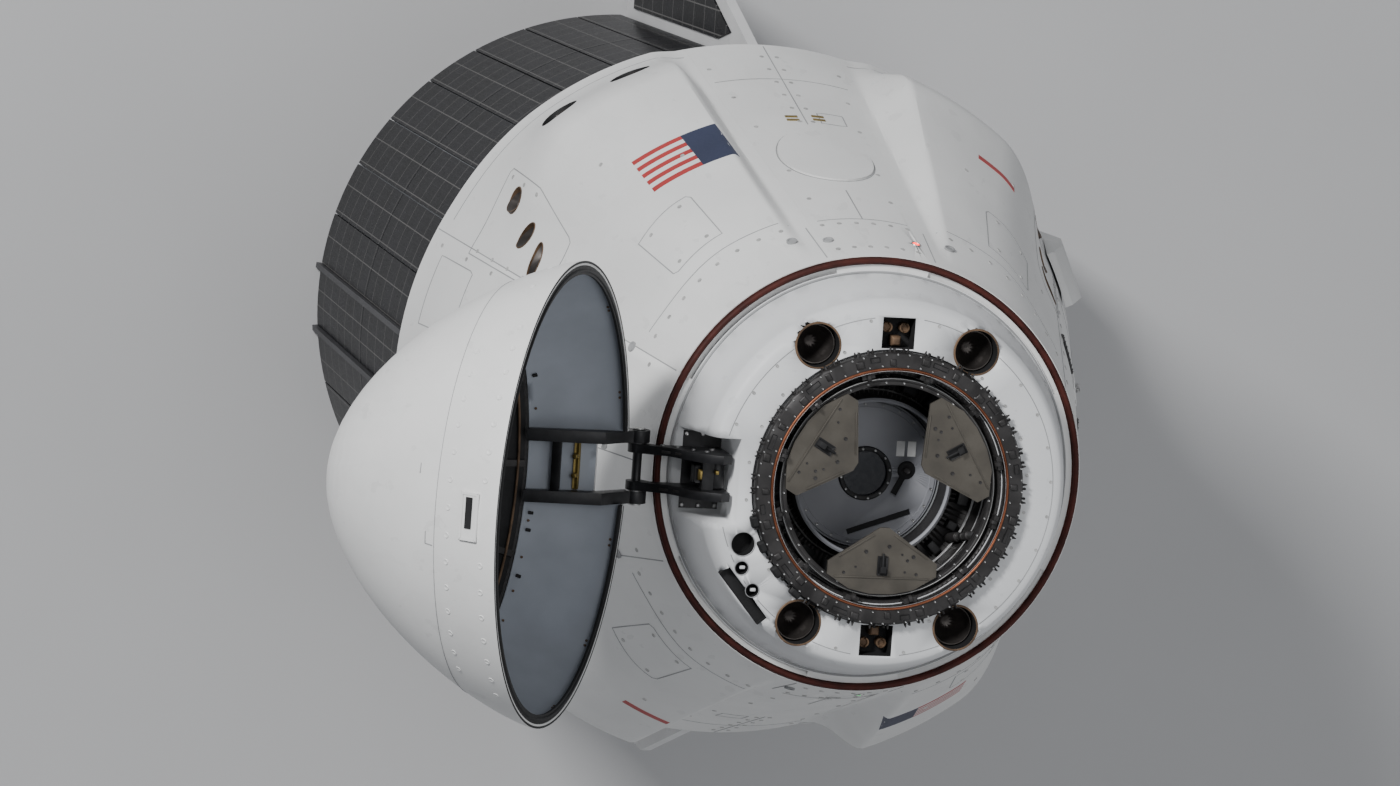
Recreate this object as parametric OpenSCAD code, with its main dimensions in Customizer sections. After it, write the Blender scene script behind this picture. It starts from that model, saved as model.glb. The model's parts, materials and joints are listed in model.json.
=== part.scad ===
// Crewed space capsule on its unpressurised trunk, standing on the trunk's aft ring.
// Origin: centre of the trunk's aft ring. +Z: towards the nose.
// -X: nose cone hinge and solar half of the trunk. +X: crew hatch and radiator half. +Y: port.

/* [Trunk] */
// Outer radius of the trunk shell
trunk_r = 1860; // [1600:10:2100]
// Length of the trunk, aft ring to heat shield
trunk_len = 3700; // [2600:50:4800]
// Thickness of the trunk shell
trunk_wall = 40; // [25:5:60]
// Height of the trunk's aft and forward rings
ring_h = 80; // [60:5:120]
// Inward depth of the trunk's rings
ring_depth = 100; // [80:5:140]
// Bolts in the aft ring
aft_bolts = 12; // [6:1:24]
// Radius of an aft ring bolt hole
aft_bolt_r = 14; // [8:1:20]
// Thickness of a solar or radiator panel
panel_t = 18; // [10:1:30]
// Gap between neighbouring panels
panel_gap = 9; // [4:1:16]
// Half angle of the narrow solar strip on the hinge side
strip_half = 6; // [4:0.5:8]
// Angular pitch of the solar columns
column_pitch = 10.5; // [9:0.5:12]
// Solar columns on each side of the narrow strip
column_count = 7; // [4:1:7]
// How far the two rails stand out of the trunk shell
rail_rise = 48; // [30:2:80]
// Width of a rail
rail_w = 34; // [20:2:60]

/* [Fins] */
// Thickness of a fin
fin_t = 60; // [30:5:90]
// How far a fin reaches out of the trunk
fin_span = 590; // [300:10:900]
// Slope of a fin's leading edge, from the trunk's axis
fin_sweep = 17.5; // [14:0.5:24]
// Angle of the two fins on the hatch side, from the hatch
fin_hatch_angle = 22; // [18:1:26]
// Thickness of the cell sheet on a fin
fin_cell_t = 12; // [8:1:20]

/* [Capsule] */
// Radius of the capsule at its base edge
base_r = 1980; // [1900:10:2200]
// Radius of the capsule at the top of its side wall
top_r = 1135; // [1090:5:1250]
// Height of the side wall
wall_h = 3100; // [2600:20:3600]
// Thickness of the side wall
wall_t = 80; // [50:5:110]
// Height of the heat shield's rim
shield_rim = 70; // [50:5:100]
// Depth of the heat shield's dome under its rim
shield_depth = 210; // [120:10:300]
// Angle from the hinge or hatch axis where the pod fairings start
pod_start = 25.5; // [24:0.5:28]
// Angle from the hinge or hatch axis where the pod fairings end
pod_end = 77; // [74:0.5:80]
// How far a pod stands out of the wall
pod_rise = 250; // [150:5:320]
// Height of a pod's widest point over the base edge
pod_peak = 900; // [600:10:1000]

/* [Forward deck] */
// Height of the deck over the top of the side wall
deck_rise = 420; // [360:10:450]
// Radius of the deck's flat top
deck_r = 885; // [860:5:900]
// Radius of the foot of the deck's sloping side
deck_foot_r = 1048; // [1020:2:1050]
// Thickness of the bulkhead under the deck
bulkhead_t = 80; // [50:5:100]
// Radius of the seal tube on the wall's top edge
seal_tube_r = 14; // [10:1:18]
// Radius of the circle of forward thrusters
thruster_circle_r = 822; // [800:2:830]
// Angle of a forward thruster from the port and starboard axis
thruster_angle = 30.2; // [28:0.2:34]
// Radius of a forward thruster's well
well_r = 112; // [90:2:120]
// Depth of a forward thruster's well
well_depth = 260; // [180:10:320]

/* [Docking adapter] */
// Outer radius of the docking ring
dock_r = 700; // [660:5:720]
// Width of the docking ring's face
dock_face_w = 96; // [70:2:110]
// Height of the docking ring over the deck
dock_rise = 62; // [40:2:80]
// Outer radius of the soft capture ring
capture_r = 562; // [540:2:570]
// Thickness of the soft capture ring
capture_t = 34; // [24:2:44]
// Radius of the crew tunnel
tunnel_r = 395; // [360:5:410]
// Clearance of the tunnel hatch in its seat
hatch_gap = 10; // [9:1:14]
// Thickness of the tunnel hatch
tunnel_hatch_t = 56; // [40:2:70]
// Radius of the window in the tunnel hatch
tunnel_window_r = 118; // [80:2:140]

/* [Nose cone] */
// Radius of the nose cone at its rim
nose_r = 1150; // [1110:5:1260]
// Height of the nose cone
nose_h = 1200; // [1000:20:1400]
// Thickness of the nose cone's outer shell
nose_wall = 22; // [14:2:28]
// Thickness of the liner inside the nose cone
liner_t = 10; // [8:1:14]
// Depth of the liner inside the nose cone
liner_h = 460; // [440:10:520]
// How far the nose cone stands open
nose_open = 117; // [90:1:120]
// Gap between the closed nose cone's rim and the seal
nose_gap = 8; // [6:1:16]
// How far the hinge pin lies outside the side wall's top edge
hinge_out = 82; // [76:2:100]
// Radius of the nose hinge pin
hinge_pin_r = 24; // [18:1:30]
// Thickness of one hinge arm
arm_t = 62; // [40:2:66]
// Thickness of one bracket ear
ear_t = 44; // [30:2:50]

/* [Crew hatch] */
// Width of the crew hatch
hatch_w = 740; // [640:10:780]
// Height of the crew hatch
hatch_h = 900; // [800:10:1100]
// Corner radius of the crew hatch
hatch_corner = 140; // [100:10:200]
// Height of the crew hatch's middle over the base edge
hatch_mid = 1480; // [1400:10:1600]
// Gap around the crew hatch
door_gap = 16; // [14:1:22]
// Radius of the crew hatch's window
hatch_window_r = 130; // [90:5:160]
// Radius of the two side windows
side_window_r = 92; // [70:2:100]

/* [Hidden] */
$fn = 96;
fit = 0.3;

white = [0.90, 0.90, 0.89];
pale_grey = [0.66, 0.68, 0.70];
soot = [0.08, 0.08, 0.09];
cell_black = [0.03, 0.03, 0.05];
dark_metal = [0.20, 0.20, 0.21];
bare_metal = [0.62, 0.62, 0.62];
copper = [0.55, 0.27, 0.16];
seal_red = [0.35, 0.06, 0.04];
glass = [0.05, 0.06, 0.08];

base_z = trunk_len + shield_rim;
top_z = base_z + wall_h;
deck_z = top_z + deck_rise;
wall_angle = atan((base_r - top_r) / wall_h);
bulkhead_top = top_z - 40;
bulkhead_low = bulkhead_top - bulkhead_t;
seal_top = top_z + 2 * seal_tube_r;
rim_z = seal_top + nose_gap;
hinge_x = -(top_r + hinge_out);
hinge_z = top_z + 6;
ear_out = 118;
ear_in = ear_out - ear_t;
arm_in = ear_out + 8;
arm_out = arm_in + arm_t;
bay_half = arm_out + 30;
bay_x = 775;
bay_floor = top_z + 36;
shell_in = trunk_r - trunk_wall;
seam = fit / top_r * 57.3;

// Radius of the side wall's outer face at a height over the base edge
function wall_r(h) = base_r - (base_r - top_r) * h / wall_h;

// Smooth step from 0 to 1
function ease(t) = t <= 0 ? 0 : t >= 1 ? 1 : t * t * (3 - 2 * t);

// Radius of the nose cone's outer face at a depth over its rim
function nose_out(d) = nose_r * pow(max(0, 1 - pow(d / nose_h, 1.3)), 0.556);

// Outline of the nose cone's face, drawn in by inset, from the rim up to a depth
function nose_curve(inset, depth, steps = 22) = [for (i = [0:steps])
    let (d = depth * sin(90 * pow(i / steps, 1.4))) [max(0, nose_out(d * nose_h / (nose_h - inset)) - inset), d]];

// Radius of the nose cone's inner face at a depth over its rim
function nose_in(d) = nose_out(d * nose_h / (nose_h - nose_wall)) - nose_wall;

function reversed(list) = [for (i = [len(list) - 1:-1:0]) list[i]];

// Solid of revolution between two angles
module swept(from, to) {
    rotate([0, 0, from]) rotate_extrude(angle = to - from, $fn = 180) children();
}

module ring(r_in, r_out, low, high) {
    translate([0, 0, low]) difference() {
        cylinder(r = r_out, h = high - low, $fn = 180);
        translate([0, 0, -1]) cylinder(r = r_in, h = high - low + 2, $fn = 180);
    }
}

// ---------------------------------------------------------------- heat shield and side wall

module heat_shield() {
    dome_r = trunk_r - ring_depth - 30;
    sphere_r = (dome_r * dome_r + shield_depth * shield_depth) / (2 * shield_depth);
    dome = [for (i = [0:12]) let (r = dome_r * i / 12)
        [r, trunk_len - shield_depth + sphere_r - sqrt(sphere_r * sphere_r - r * r)]];
    color(soot) rotate_extrude($fn = 180) polygon(concat(dome,
        [[trunk_r + 30, trunk_len], [base_r - 18, trunk_len + shield_rim * 0.45],
            [base_r, base_z], [0, base_z]]));
}

module wall_profile() {
    polygon([[wall_r(fit), base_z + fit], [top_r, top_z], [top_r - wall_t, top_z],
        [wall_r(fit) - wall_t, base_z + fit]]);
}

module hinge_side_panel() {
    color(white) difference() {
        swept(180 - pod_start + seam, 180 + pod_start - seam) wall_profile();
        for (k = [1, 3]) on_pod(k) side_thruster_cuts();
    }
}

// Frame on the wall at the crew hatch: x out of the wall, z up the slope
module at_hatch() {
    translate([wall_r(hatch_mid), 0, base_z + hatch_mid]) rotate([0, -wall_angle, 0]) children();
}

module hatch_outline(grow) {
    corner = hatch_corner + grow;
    for (y = [-1, 1], z = [-1, 1])
        translate([y * (hatch_w / 2 - hatch_corner), z * (hatch_h / 2 - hatch_corner)]) circle(corner);
    square([hatch_w + 2 * grow, hatch_h - 2 * hatch_corner], center = true);
    square([hatch_w - 2 * hatch_corner, hatch_h + 2 * grow], center = true);
}

// Prism through the wall with the hatch's outline
module hatch_prism(grow) {
    at_hatch() translate([-wall_t * 3, 0, 0]) rotate([90, 0, 90])
        linear_extrude(wall_t * 4) hatch_outline(grow);
}

module hatch_window_cut(grow) {
    at_hatch() translate([-wall_t * 2, 0, hatch_h * 0.16]) rotate([0, 90, 0])
        cylinder(r = hatch_window_r + grow, h = wall_t * 4);
}

side_window_angle = 19.6;
side_window_h = hatch_mid + 250;

module side_window_axis(side) {
    rotate([0, 0, side * side_window_angle])
        translate([wall_r(side_window_h), 0, base_z + side_window_h]) rotate([0, 90 - wall_angle, 0])
            children();
}

module hatch_side_panel() {
    color(white) difference() {
        swept(seam - pod_start, pod_start - seam) wall_profile();
        hatch_prism(door_gap);
        for (k = [0, 2]) on_pod(k) side_thruster_cuts();
        for (side = [-1, 1])
            side_window_axis(side) translate([0, 0, -wall_t * 2])
                cylinder(r = side_window_r, h = wall_t * 3);
    }
}

module side_windows() {
    color(glass) for (side = [-1, 1])
        side_window_axis(side) translate([0, 0, -wall_t * 0.6])
            cylinder(r = side_window_r - fit, h = 22);
}

cover_h = 750;
cover_w = 510;
cover_mid = 1700;
cover_t = 9;

// Oval prism standing on the port panel
module cover_prism() {
    translate([0, wall_r(cover_mid), base_z + cover_mid]) rotate([90 + wall_angle, 0, 0])
        translate([0, 0, -60]) linear_extrude(260)
            polygon([for (a = [0:10:350]) [cover_w / 2 * cos(a), cover_h / 2 * sin(a)]]);
}

lamp_r = 17;
lamp_h = 2860;
lamp_sink = 12;
port_lamp_angle = 79;
starboard_lamp_angle = 275;
vent_angles = [270, 280];
vent_h = 2620;
vent_r = 42;

// Frame on the wall at a navigation lamp: z out of the wall
module at_lamp(angle) {
    rotate([0, 0, angle]) translate([wall_r(lamp_h), 0, base_z + lamp_h]) rotate([0, 90 - wall_angle, 0])
        children();
}

// Blind seat of a lamp
module lamp_cut(angle) {
    at_lamp(angle) translate([0, 0, -lamp_sink]) cylinder(r = lamp_r, h = 60);
}

module port_panel() {
    color(white) difference() {
        swept(pod_end + seam, 180 - pod_end - seam) wall_profile();
        lamp_cut(port_lamp_angle);
    }
}

module starboard_panel() {
    color(white) difference() {
        swept(180 + pod_end + seam, 360 - pod_end - seam) wall_profile();
        for (a = vent_angles) rotate([0, 0, a]) translate([wall_r(vent_h) - 60, 0, base_z + vent_h])
            rotate([0, 55, 0]) cylinder(r = vent_r, h = 240);
        lamp_cut(starboard_lamp_angle);
    }
}

module port_cover() {
    color(white) intersection() {
        cover_prism();
        swept(pod_end, 180 - pod_end) polygon([[base_r + fit, base_z], [top_r + fit, top_z],
            [top_r + cover_t, top_z], [base_r + cover_t, base_z]]);
    }
}

module navigation_lights() {
    color("red") at_lamp(port_lamp_angle) lamp();
    color("green") at_lamp(starboard_lamp_angle) lamp();
}

module lamp() {
    translate([0, 0, fit - lamp_sink]) cylinder(r = lamp_r - fit, h = lamp_sink + 4);
}

// ---------------------------------------------------------------- pod fairings

pod_columns = 24;
pod_rows = 18;

// Height of row j over the base edge: rows crowd towards the base
function pod_h(j) = let (t = j / pod_rows) wall_h * (t < 0.4 ? 0.7 * t : 0.28 + (t - 0.4) * 1.2);

// How far the pod stands out of the wall, u degrees from the hinge or hatch axis, h over the base edge
function pod_lift(u, h) = let (k = h / wall_h,
        along = h < pod_peak ? 0.10 + 0.90 * ease(h / pod_peak)
            : max(0, 1 - (h - pod_peak) / (wall_h * 0.965 - pod_peak)),
        soft = ease((u - (pod_start + 1 + 8 * k)) / 24),
        steep = ease((pod_end - 1 - 3 * k - u) / (5 - 1.5 * k)))
    pod_rise * along * soft * steep;

function pod_point(i, j, inner) = let (u = pod_start + (pod_end - pod_start) * i / pod_columns,
        h = pod_h(j), r = inner ? wall_r(h) - wall_t : wall_r(h) + pod_lift(u, h))
    [r * cos(u), r * sin(u), base_z + h];

// Blended fairing: a wall panel whose outer face swells into the pod
module pod_body() {
    wide = pod_columns + 1;
    tall = pod_rows + 1;
    outer = [for (j = [0:pod_rows]) for (i = [0:pod_columns]) pod_point(i, j, false)];
    inner = [for (j = [0:pod_rows]) for (i = [0:pod_columns]) pod_point(i, j, true)];
    shift = wide * tall;
    faces_out = [for (j = [0:pod_rows - 1]) for (i = [0:pod_columns - 1])
        let (a = j * wide + i, b = a + 1, c = b + wide, d = a + wide) each [[a, c, b], [a, d, c]]];
    faces_in = [for (f = faces_out) [f[0] + shift, f[2] + shift, f[1] + shift]];
    low = [for (i = [0:pod_columns - 1]) let (a = i, b = i + 1)
        each [[a, b, b + shift], [a, b + shift, a + shift]]];
    high = [for (i = [0:pod_columns - 1]) let (a = pod_rows * wide + i, b = a + 1)
        each [[a, b + shift, b], [a, a + shift, b + shift]]];
    near = [for (j = [0:pod_rows - 1]) let (a = j * wide, b = a + wide)
        each [[a, b + shift, b], [a, a + shift, b + shift]]];
    far = [for (j = [0:pod_rows - 1]) let (a = j * wide + pod_columns, b = a + wide)
        each [[a, b, b + shift], [a, b + shift, a + shift]]];
    polyhedron(concat(outer, inner), concat(faces_out, faces_in, low, high, near, far));
}

// Side thruster ports: angle from the axis, height, half length, half width, turn of the long axis
side_thrusters = [[36.4, 700, 76, 66, 0], [32.5, 960, 92, 52, 29], [29.4, 1180, 118, 52, -23]];
port_depth = 62;
port_points = 36;

module side_thruster_axis(t) {
    rotate([0, 0, t[0]]) translate([wall_r(t[1]) + pod_lift(t[0], t[1]), 0, base_z + t[1]])
        rotate([0, 90 - wall_angle, 0]) rotate([0, 0, t[4]]) children();
}

// Points of an oval with its long axis along y, moved along y
function oval(long, wide, along = 0) = [for (k = [0:port_points - 1]) let (a = k * 360 / port_points)
    [wide * cos(a), along + long * sin(a)]];

// Solid between an oval mouth at z = 0 and a round throat under it, set towards one end
module scarfed_throat(long, wide, depth) {
    n = port_points;
    top = [for (p = oval(long, wide)) [p[0], p[1], 1]];
    low = [for (p = oval(wide * 0.45, wide * 0.45, long - wide)) [p[0], p[1], -depth]];
    sides = [for (k = [0:n - 1]) let (m = (k + 1) % n) each [[k, m, n + m], [k, n + m, n + k]]];
    polyhedron(concat(top, low), concat(sides, [[for (k = [n - 1:-1:0]) k]], [[for (k = [0:n - 1]) n + k]]));
}

// Abort engines: two a pod, canted out and down
engine_angles = [52, 65];
engine_h = 480;
engine_r = 118;
engine_cant = 30;

module engine_axis(a) {
    rotate([0, 0, a]) translate([wall_r(engine_h) + pod_lift(a, engine_h) - 60, 0, base_z + engine_h])
        rotate([0, 90 + engine_cant, 0]) children();
}

// Oval pockets of one pod's side thrusters
module side_thruster_cuts() {
    for (t = side_thrusters) side_thruster_axis(t) translate([0, 0, -port_depth])
        linear_extrude(port_depth + 150) polygon(oval(t[2], t[3]));
}

module pod() {
    difference() {
        pod_body();
        side_thruster_cuts();
        for (a = engine_angles) engine_axis(a) translate([0, 0, -110]) cylinder(r = engine_r, h = 500);
    }
}

// Puts a piece of the port hatch-side pod on one of the four pods
module on_pod(k) {
    if (k == 0) children();
    if (k == 1) mirror([1, 0, 0]) children();
    if (k == 2) mirror([0, 1, 0]) children();
    if (k == 3) mirror([1, 0, 0]) mirror([0, 1, 0]) children();
}

module pod_port_hatch_side() { color(white) on_pod(0) pod(); }
module pod_port_hinge_side() { color(white) on_pod(1) pod(); }
module pod_starboard_hatch_side() { color(white) on_pod(2) pod(); }
module pod_starboard_hinge_side() { color(white) on_pod(3) pod(); }

// Thin bell with a closed foot, mouth at z = 0
module bell(mouth_r, throat_r, depth, thick) {
    rotate_extrude() polygon([[0, -depth], [mouth_r * 0.8, -depth], [mouth_r * 0.8, -depth + thick * 2],
        [throat_r + thick, -depth + thick * 2], [throat_r + thick, -depth * 0.7],
        [mouth_r * 0.82 + thick, -depth * 0.25], [mouth_r + thick, 0], [mouth_r, 0],
        [mouth_r * 0.82, -depth * 0.25], [throat_r, -depth * 0.7], [0, -depth * 0.72]]);
}

module abort_engine_nozzles() {
    color(dark_metal) for (k = [0:3]) on_pod(k) for (a = engine_angles)
        engine_axis(a) translate([0, 0, -109.7 + 130]) bell(engine_r - 12, 40, 130, 5);
}

module side_thruster_nozzles() {
    color(bare_metal) for (k = [0:3]) on_pod(k) for (t = side_thrusters)
        side_thruster_axis(t) translate([0, 0, -8]) difference() {
            translate([0, 0, 8 + fit - port_depth]) linear_extrude(port_depth - 8 - fit)
                polygon(oval(t[2] - 3, t[3] - 3));
            scarfed_throat(t[2] - 9, t[3] - 9, 44);
        }
}

// ---------------------------------------------------------------- forward end

hatch_pin_y = tunnel_r + 46;
hatch_pin_z = bulkhead_low - 34;
hatch_pin_r = 12;

module forward_bulkhead() {
    lug_t = 26;
    color(pale_grey) {
        rotate_extrude($fn = 180) polygon([[tunnel_r, bulkhead_low],
            [wall_r(bulkhead_low - base_z) - wall_t - fit, bulkhead_low],
            [wall_r(bulkhead_top - base_z) - wall_t - fit, bulkhead_top], [tunnel_r, bulkhead_top]]);
        for (x = [-1, 1]) difference() {
            translate([x * 110 - lug_t / 2, hatch_pin_y - 34, hatch_pin_z]) cube([lug_t, 68, 34]);
            translate([x * 110 - lug_t, hatch_pin_y, hatch_pin_z]) rotate([0, 90, 0])
                cylinder(r = hatch_pin_r + 12, h = lug_t * 2);
        }
        for (x = [-1, 1]) translate([x * 110 - lug_t / 2, hatch_pin_y, hatch_pin_z]) rotate([0, 90, 0])
            difference() {
                cylinder(r = 34, h = lug_t);
                translate([0, 0, -1]) cylinder(r = hatch_pin_r + 0.05, h = lug_t + 2);
            }
    }
}

module deck_profile() {
    polygon([[dock_r - dock_face_w - 4, bulkhead_top], [deck_foot_r, bulkhead_top], [deck_foot_r, top_z],
        [deck_r + 78, deck_z - 150], [deck_r + 68, deck_z - 84], [deck_r + 46, deck_z - 36],
        [deck_r + 24, deck_z - 10], [deck_r, deck_z], [dock_r - dock_face_w - 4, deck_z]]);
}

module at_thrusters() {
    for (x = [-1, 1], y = [-1, 1])
        translate([x * thruster_circle_r * sin(thruster_angle), y * thruster_circle_r * cos(thruster_angle),
            deck_z]) children();
}

notch_w = 170;
notch_r = 790;
notch_l = 160;
small_holes = [[-729, -317, 60], [-727, -440, 34], [-664, -553, 34]];

module forward_deck() {
    color(white) difference() {
        rotate_extrude($fn = 180) deck_profile();
        at_thrusters() translate([0, 0, -well_depth]) cylinder(r = well_r, h = well_depth + 1);
        for (y = [-1, 1]) translate([-notch_w / 2, y * notch_r - notch_l / 2, deck_z - 120])
            cube([notch_w, notch_l, 121]);
        for (h = small_holes) translate([h[0], h[1], deck_z - 90]) cylinder(r = h[2], h = 91);
        translate([-bay_x - 500, -bay_half, bay_floor]) cube([500, bay_half * 2, deck_rise + 1]);
        rotate([0, 0, 220]) translate([deck_r - 2, -170, deck_z - 80]) cube([62, 340, 81]);
    }
}

module forward_thruster_nozzles() {
    color(dark_metal) at_thrusters() translate([0, 0, -70]) bell(well_r - 16, 26, well_depth - 70 - fit, 5);
}

module seal_ring() {
    color(seal_red) rotate_extrude($fn = 180) {
        translate([top_r - 24, top_z + seal_tube_r]) circle(seal_tube_r, $fn = 48);
        polygon([[top_r - 44, top_z], [top_r - 4, top_z], [top_r - 18, top_z + 10], [top_r - 30, top_z + 10]]);
    }
}

module docking_tunnel() {
    out_r = dock_r - dock_face_w - 4 - fit;
    color(dark_metal) rotate_extrude($fn = 180) polygon([[tunnel_r, bulkhead_top + fit],
        [out_r, bulkhead_top + fit], [out_r, deck_z - 4], [out_r - 16, deck_z - 4],
        [out_r - 16, bulkhead_top + 40], [tunnel_r + 18, bulkhead_top + 40],
        [tunnel_r + 18, bulkhead_top + 150], [tunnel_r, bulkhead_top + 150]]);
}

dock_clips = 24;

module docking_ring() {
    color(dark_metal) {
        rotate_extrude($fn = 180) polygon([[dock_r - dock_face_w, deck_z + fit], [dock_r - 12, deck_z + fit],
            [dock_r, deck_z + 14], [dock_r, deck_z + dock_rise - 12], [dock_r - 10, deck_z + dock_rise],
            [dock_r - dock_face_w, deck_z + dock_rise]]);
        for (k = [0:dock_clips - 1], side = [-1, 1]) rotate([0, 0, k * 360 / dock_clips + side * 2])
            translate([dock_r - 8, -5, deck_z + 20]) cube([26, 10, 24]);
    }
}

capture_low = deck_z - 30;

module soft_capture_ring() {
    color(bare_metal) ring(capture_r - 36, capture_r, capture_low, capture_low + capture_t);
}

petal_angles = [30, 150, 270];
petal_t = 14;
petal_tip = 205;
petal_half_w = 286;

// Three petals reach inwards from the capture ring to a blunt point
module guide_petals() {
    color(pale_grey) for (a = petal_angles) rotate([0, 0, a])
        translate([0, 0, capture_low + capture_t + fit]) linear_extrude(petal_t)
            polygon([[petal_tip, -24], [petal_tip, 24], [petal_tip + 178, petal_half_w],
                [capture_r - 112, petal_half_w], [capture_r - 40, 170], [capture_r - 16, 60],
                [capture_r - 16, -60], [capture_r - 40, -170], [capture_r - 112, -petal_half_w],
                [petal_tip + 178, -petal_half_w]]);
}

strut_r = 17;
strut_lean = 14;

module capture_struts() {
    foot = bulkhead_top + 40;
    end_rise = strut_r * sin(strut_lean) + fit;
    reach = (capture_low - foot - 2 * end_rise) / cos(strut_lean);
    color(bare_metal) for (k = [0:5]) rotate([0, 0, k * 60 + 30])
        translate([capture_r - 20, (k % 2 == 0 ? 1 : -1) * 50, foot + end_rise])
            rotate([(k % 2 == 0 ? 1 : -1) * strut_lean, 0, 0]) cylinder(r = strut_r, h = reach, $fn = 32);
}

module tunnel_hatch() {
    low = bulkhead_low + 8;
    recess = 20;
    color(pale_grey) {
        difference() {
            translate([0, 0, low]) cylinder(r = tunnel_r - hatch_gap, h = tunnel_hatch_t, $fn = 180);
            translate([0, 0, low - 1]) cylinder(r = tunnel_window_r, h = tunnel_hatch_t + 2);
            // latch recess with its lever, and a hand slot
            translate([222, 22, low + tunnel_hatch_t - recess]) cylinder(r = 50, h = recess + 1);
            translate([222, 22, low + tunnel_hatch_t - recess]) rotate([0, 0, 244])
                translate([0, -20, 0]) cube([150, 40, recess + 1]);
            translate([92, -252, low + tunnel_hatch_t - recess]) rotate([0, 0, 20])
                translate([-175, -17, 0]) cube([350, 34, recess + 1]);
        }
        // hinge leaf and its eye
        difference() {
            translate([-80, tunnel_r - 120, hatch_pin_z - 10]) cube([160, hatch_pin_y - tunnel_r + 120, 20]);
            translate([-81, hatch_pin_y, hatch_pin_z]) rotate([0, 90, 0])
                cylinder(r = hatch_pin_r + 6, h = 162);
        }
        translate([-80, tunnel_r - 120, hatch_pin_z + 10]) cube([160, 60, low - hatch_pin_z - 10]);
        translate([-140, hatch_pin_y, hatch_pin_z]) rotate([0, 90, 0]) cylinder(r = hatch_pin_r, h = 280);
        translate([-80, hatch_pin_y, hatch_pin_z]) rotate([0, 90, 0]) cylinder(r = 26, h = 160);
    }
}

module tunnel_hatch_window() {
    color(glass) translate([0, 0, bulkhead_low + 8 + tunnel_hatch_t - 30])
        cylinder(r = tunnel_window_r - fit, h = 20);
}

// ---------------------------------------------------------------- crew hatch

door_pin_r = 13;
door_pin_out = 38;
door_pin_y = -(hatch_w / 2 + 60);
door_knuckles = [-260, 260];
strap_h = 68;
door_sag = wall_r(hatch_mid) - sqrt(pow(wall_r(hatch_mid), 2) - pow(door_pin_y, 2));

// Frame on the crew hatch's hinge axis
module at_door_pin() {
    at_hatch() translate([door_pin_out - door_sag, door_pin_y, 0]) children();
}

module side_hatch() {
    color(white) {
        difference() {
            intersection() {
                swept(-pod_start, pod_start) wall_profile();
                hatch_prism(0);
            }
            hatch_window_cut(0);
        }
        // hinge straps standing on the hatch's face
        for (z = door_knuckles) at_door_pin() translate([0, 0, z - strap_h / 2]) difference() {
            union() {
                cylinder(r = door_pin_r * 2, h = strap_h);
                translate([-10, 0, 0]) cube([24, 200, strap_h]);
            }
            translate([0, 0, -1]) cylinder(r = door_pin_r + 0.05, h = strap_h + 2);
        }
    }
}

module side_hatch_window() {
    color(glass) intersection() {
        hatch_window_cut(-fit);
        at_hatch() translate([-60, -400, -400]) cube([22, 800, 800]);
    }
}

module side_hatch_hinge() {
    color(bare_metal) for (z = door_knuckles) at_door_pin() {
        translate([0, 0, z - 62]) cylinder(r = door_pin_r, h = 124);
        for (s = [-1, 1]) translate([0, 0, z + s * 48 - 11]) cylinder(r = 24, h = 22);
    }
    color(bare_metal) difference() {
        for (z = door_knuckles, s = [-1, 1]) at_door_pin() translate([-door_pin_out - 20, -24, z + s * 48 - 11])
            cube([door_pin_out + 20, 48, 22]);
        swept(-2 * pod_start, 2 * pod_start) polygon([[0, base_z], [base_r + fit, base_z],
            [top_r + fit, top_z], [0, top_z]]);
    }
}

// ---------------------------------------------------------------- cabin

floor_h = 330;
floor_t = 40;

module cabin_floor() {
    color(pale_grey) {
        translate([0, 0, base_z + floor_h]) cylinder(r = wall_r(floor_h + floor_t) - wall_t - 12, h = floor_t);
        for (a = [45:90:315]) rotate([0, 0, a]) translate([1200, 0, base_z])
            cylinder(r = 70, h = floor_h);
    }
}

seat_w = 440;
seat_pitch = 520;

// Reclined seat: back, pan and leg rest in one outline, drawn in the x and z plane
module crew_seats() {
    color(soot) for (k = [-1.5, -0.5, 0.5, 1.5])
        translate([0, k * seat_pitch + seat_w / 2, base_z + floor_h + floor_t]) rotate([90, 0, 0])
            linear_extrude(seat_w) polygon([[-620, 260], [-620, 340], [160, 420], [420, 760], [700, 560],
                [650, 500], [440, 640], [220, 330], [120, 0], [-380, 0], [-420, 250]]);
}

module control_panel() {
    panel_h = 1750;
    color(dark_metal) translate([-wall_r(panel_h) * 0.5, -520, base_z + panel_h]) rotate([0, -28, 0])
        cube([60, 1040, 420]);
    color(dark_metal) difference() {
        for (y = [-1, 1]) translate([-wall_r(panel_h) - 60, y * 400 - 30, base_z + panel_h + 40])
            cube([wall_r(panel_h) * 0.5 + 90, 60, 60]);
        swept(180 - 2 * pod_start, 180 + 2 * pod_start) polygon([[base_r - wall_t - fit, base_z],
            [top_r - wall_t - fit, top_z], [top_r + 900, top_z], [base_r + 900, base_z]]);
    }
}

// ---------------------------------------------------------------- nose cone

// Turns a closed nose cone piece about the hinge pin to where it stands
module opened() {
    translate([hinge_x, 0, hinge_z]) rotate([0, -nose_open, 0]) translate([-hinge_x, 0, -hinge_z]) children();
}

slot_h = 150;

// Slot in the rim that the hinge passes through
module rim_slot() {
    translate([-nose_r - 50, -arm_out - fit, rim_z - 40]) cube([500, 2 * (arm_out + fit), slot_h + 40]);
}

module nose_cone_shell() {
    inner = nose_curve(nose_wall, nose_h - nose_wall);
    color(white) opened() difference() {
        translate([0, 0, rim_z]) rotate_extrude($fn = 180)
            polygon(concat(nose_curve(0, nose_h), reversed(inner)));
        rim_slot();
    }
}

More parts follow.
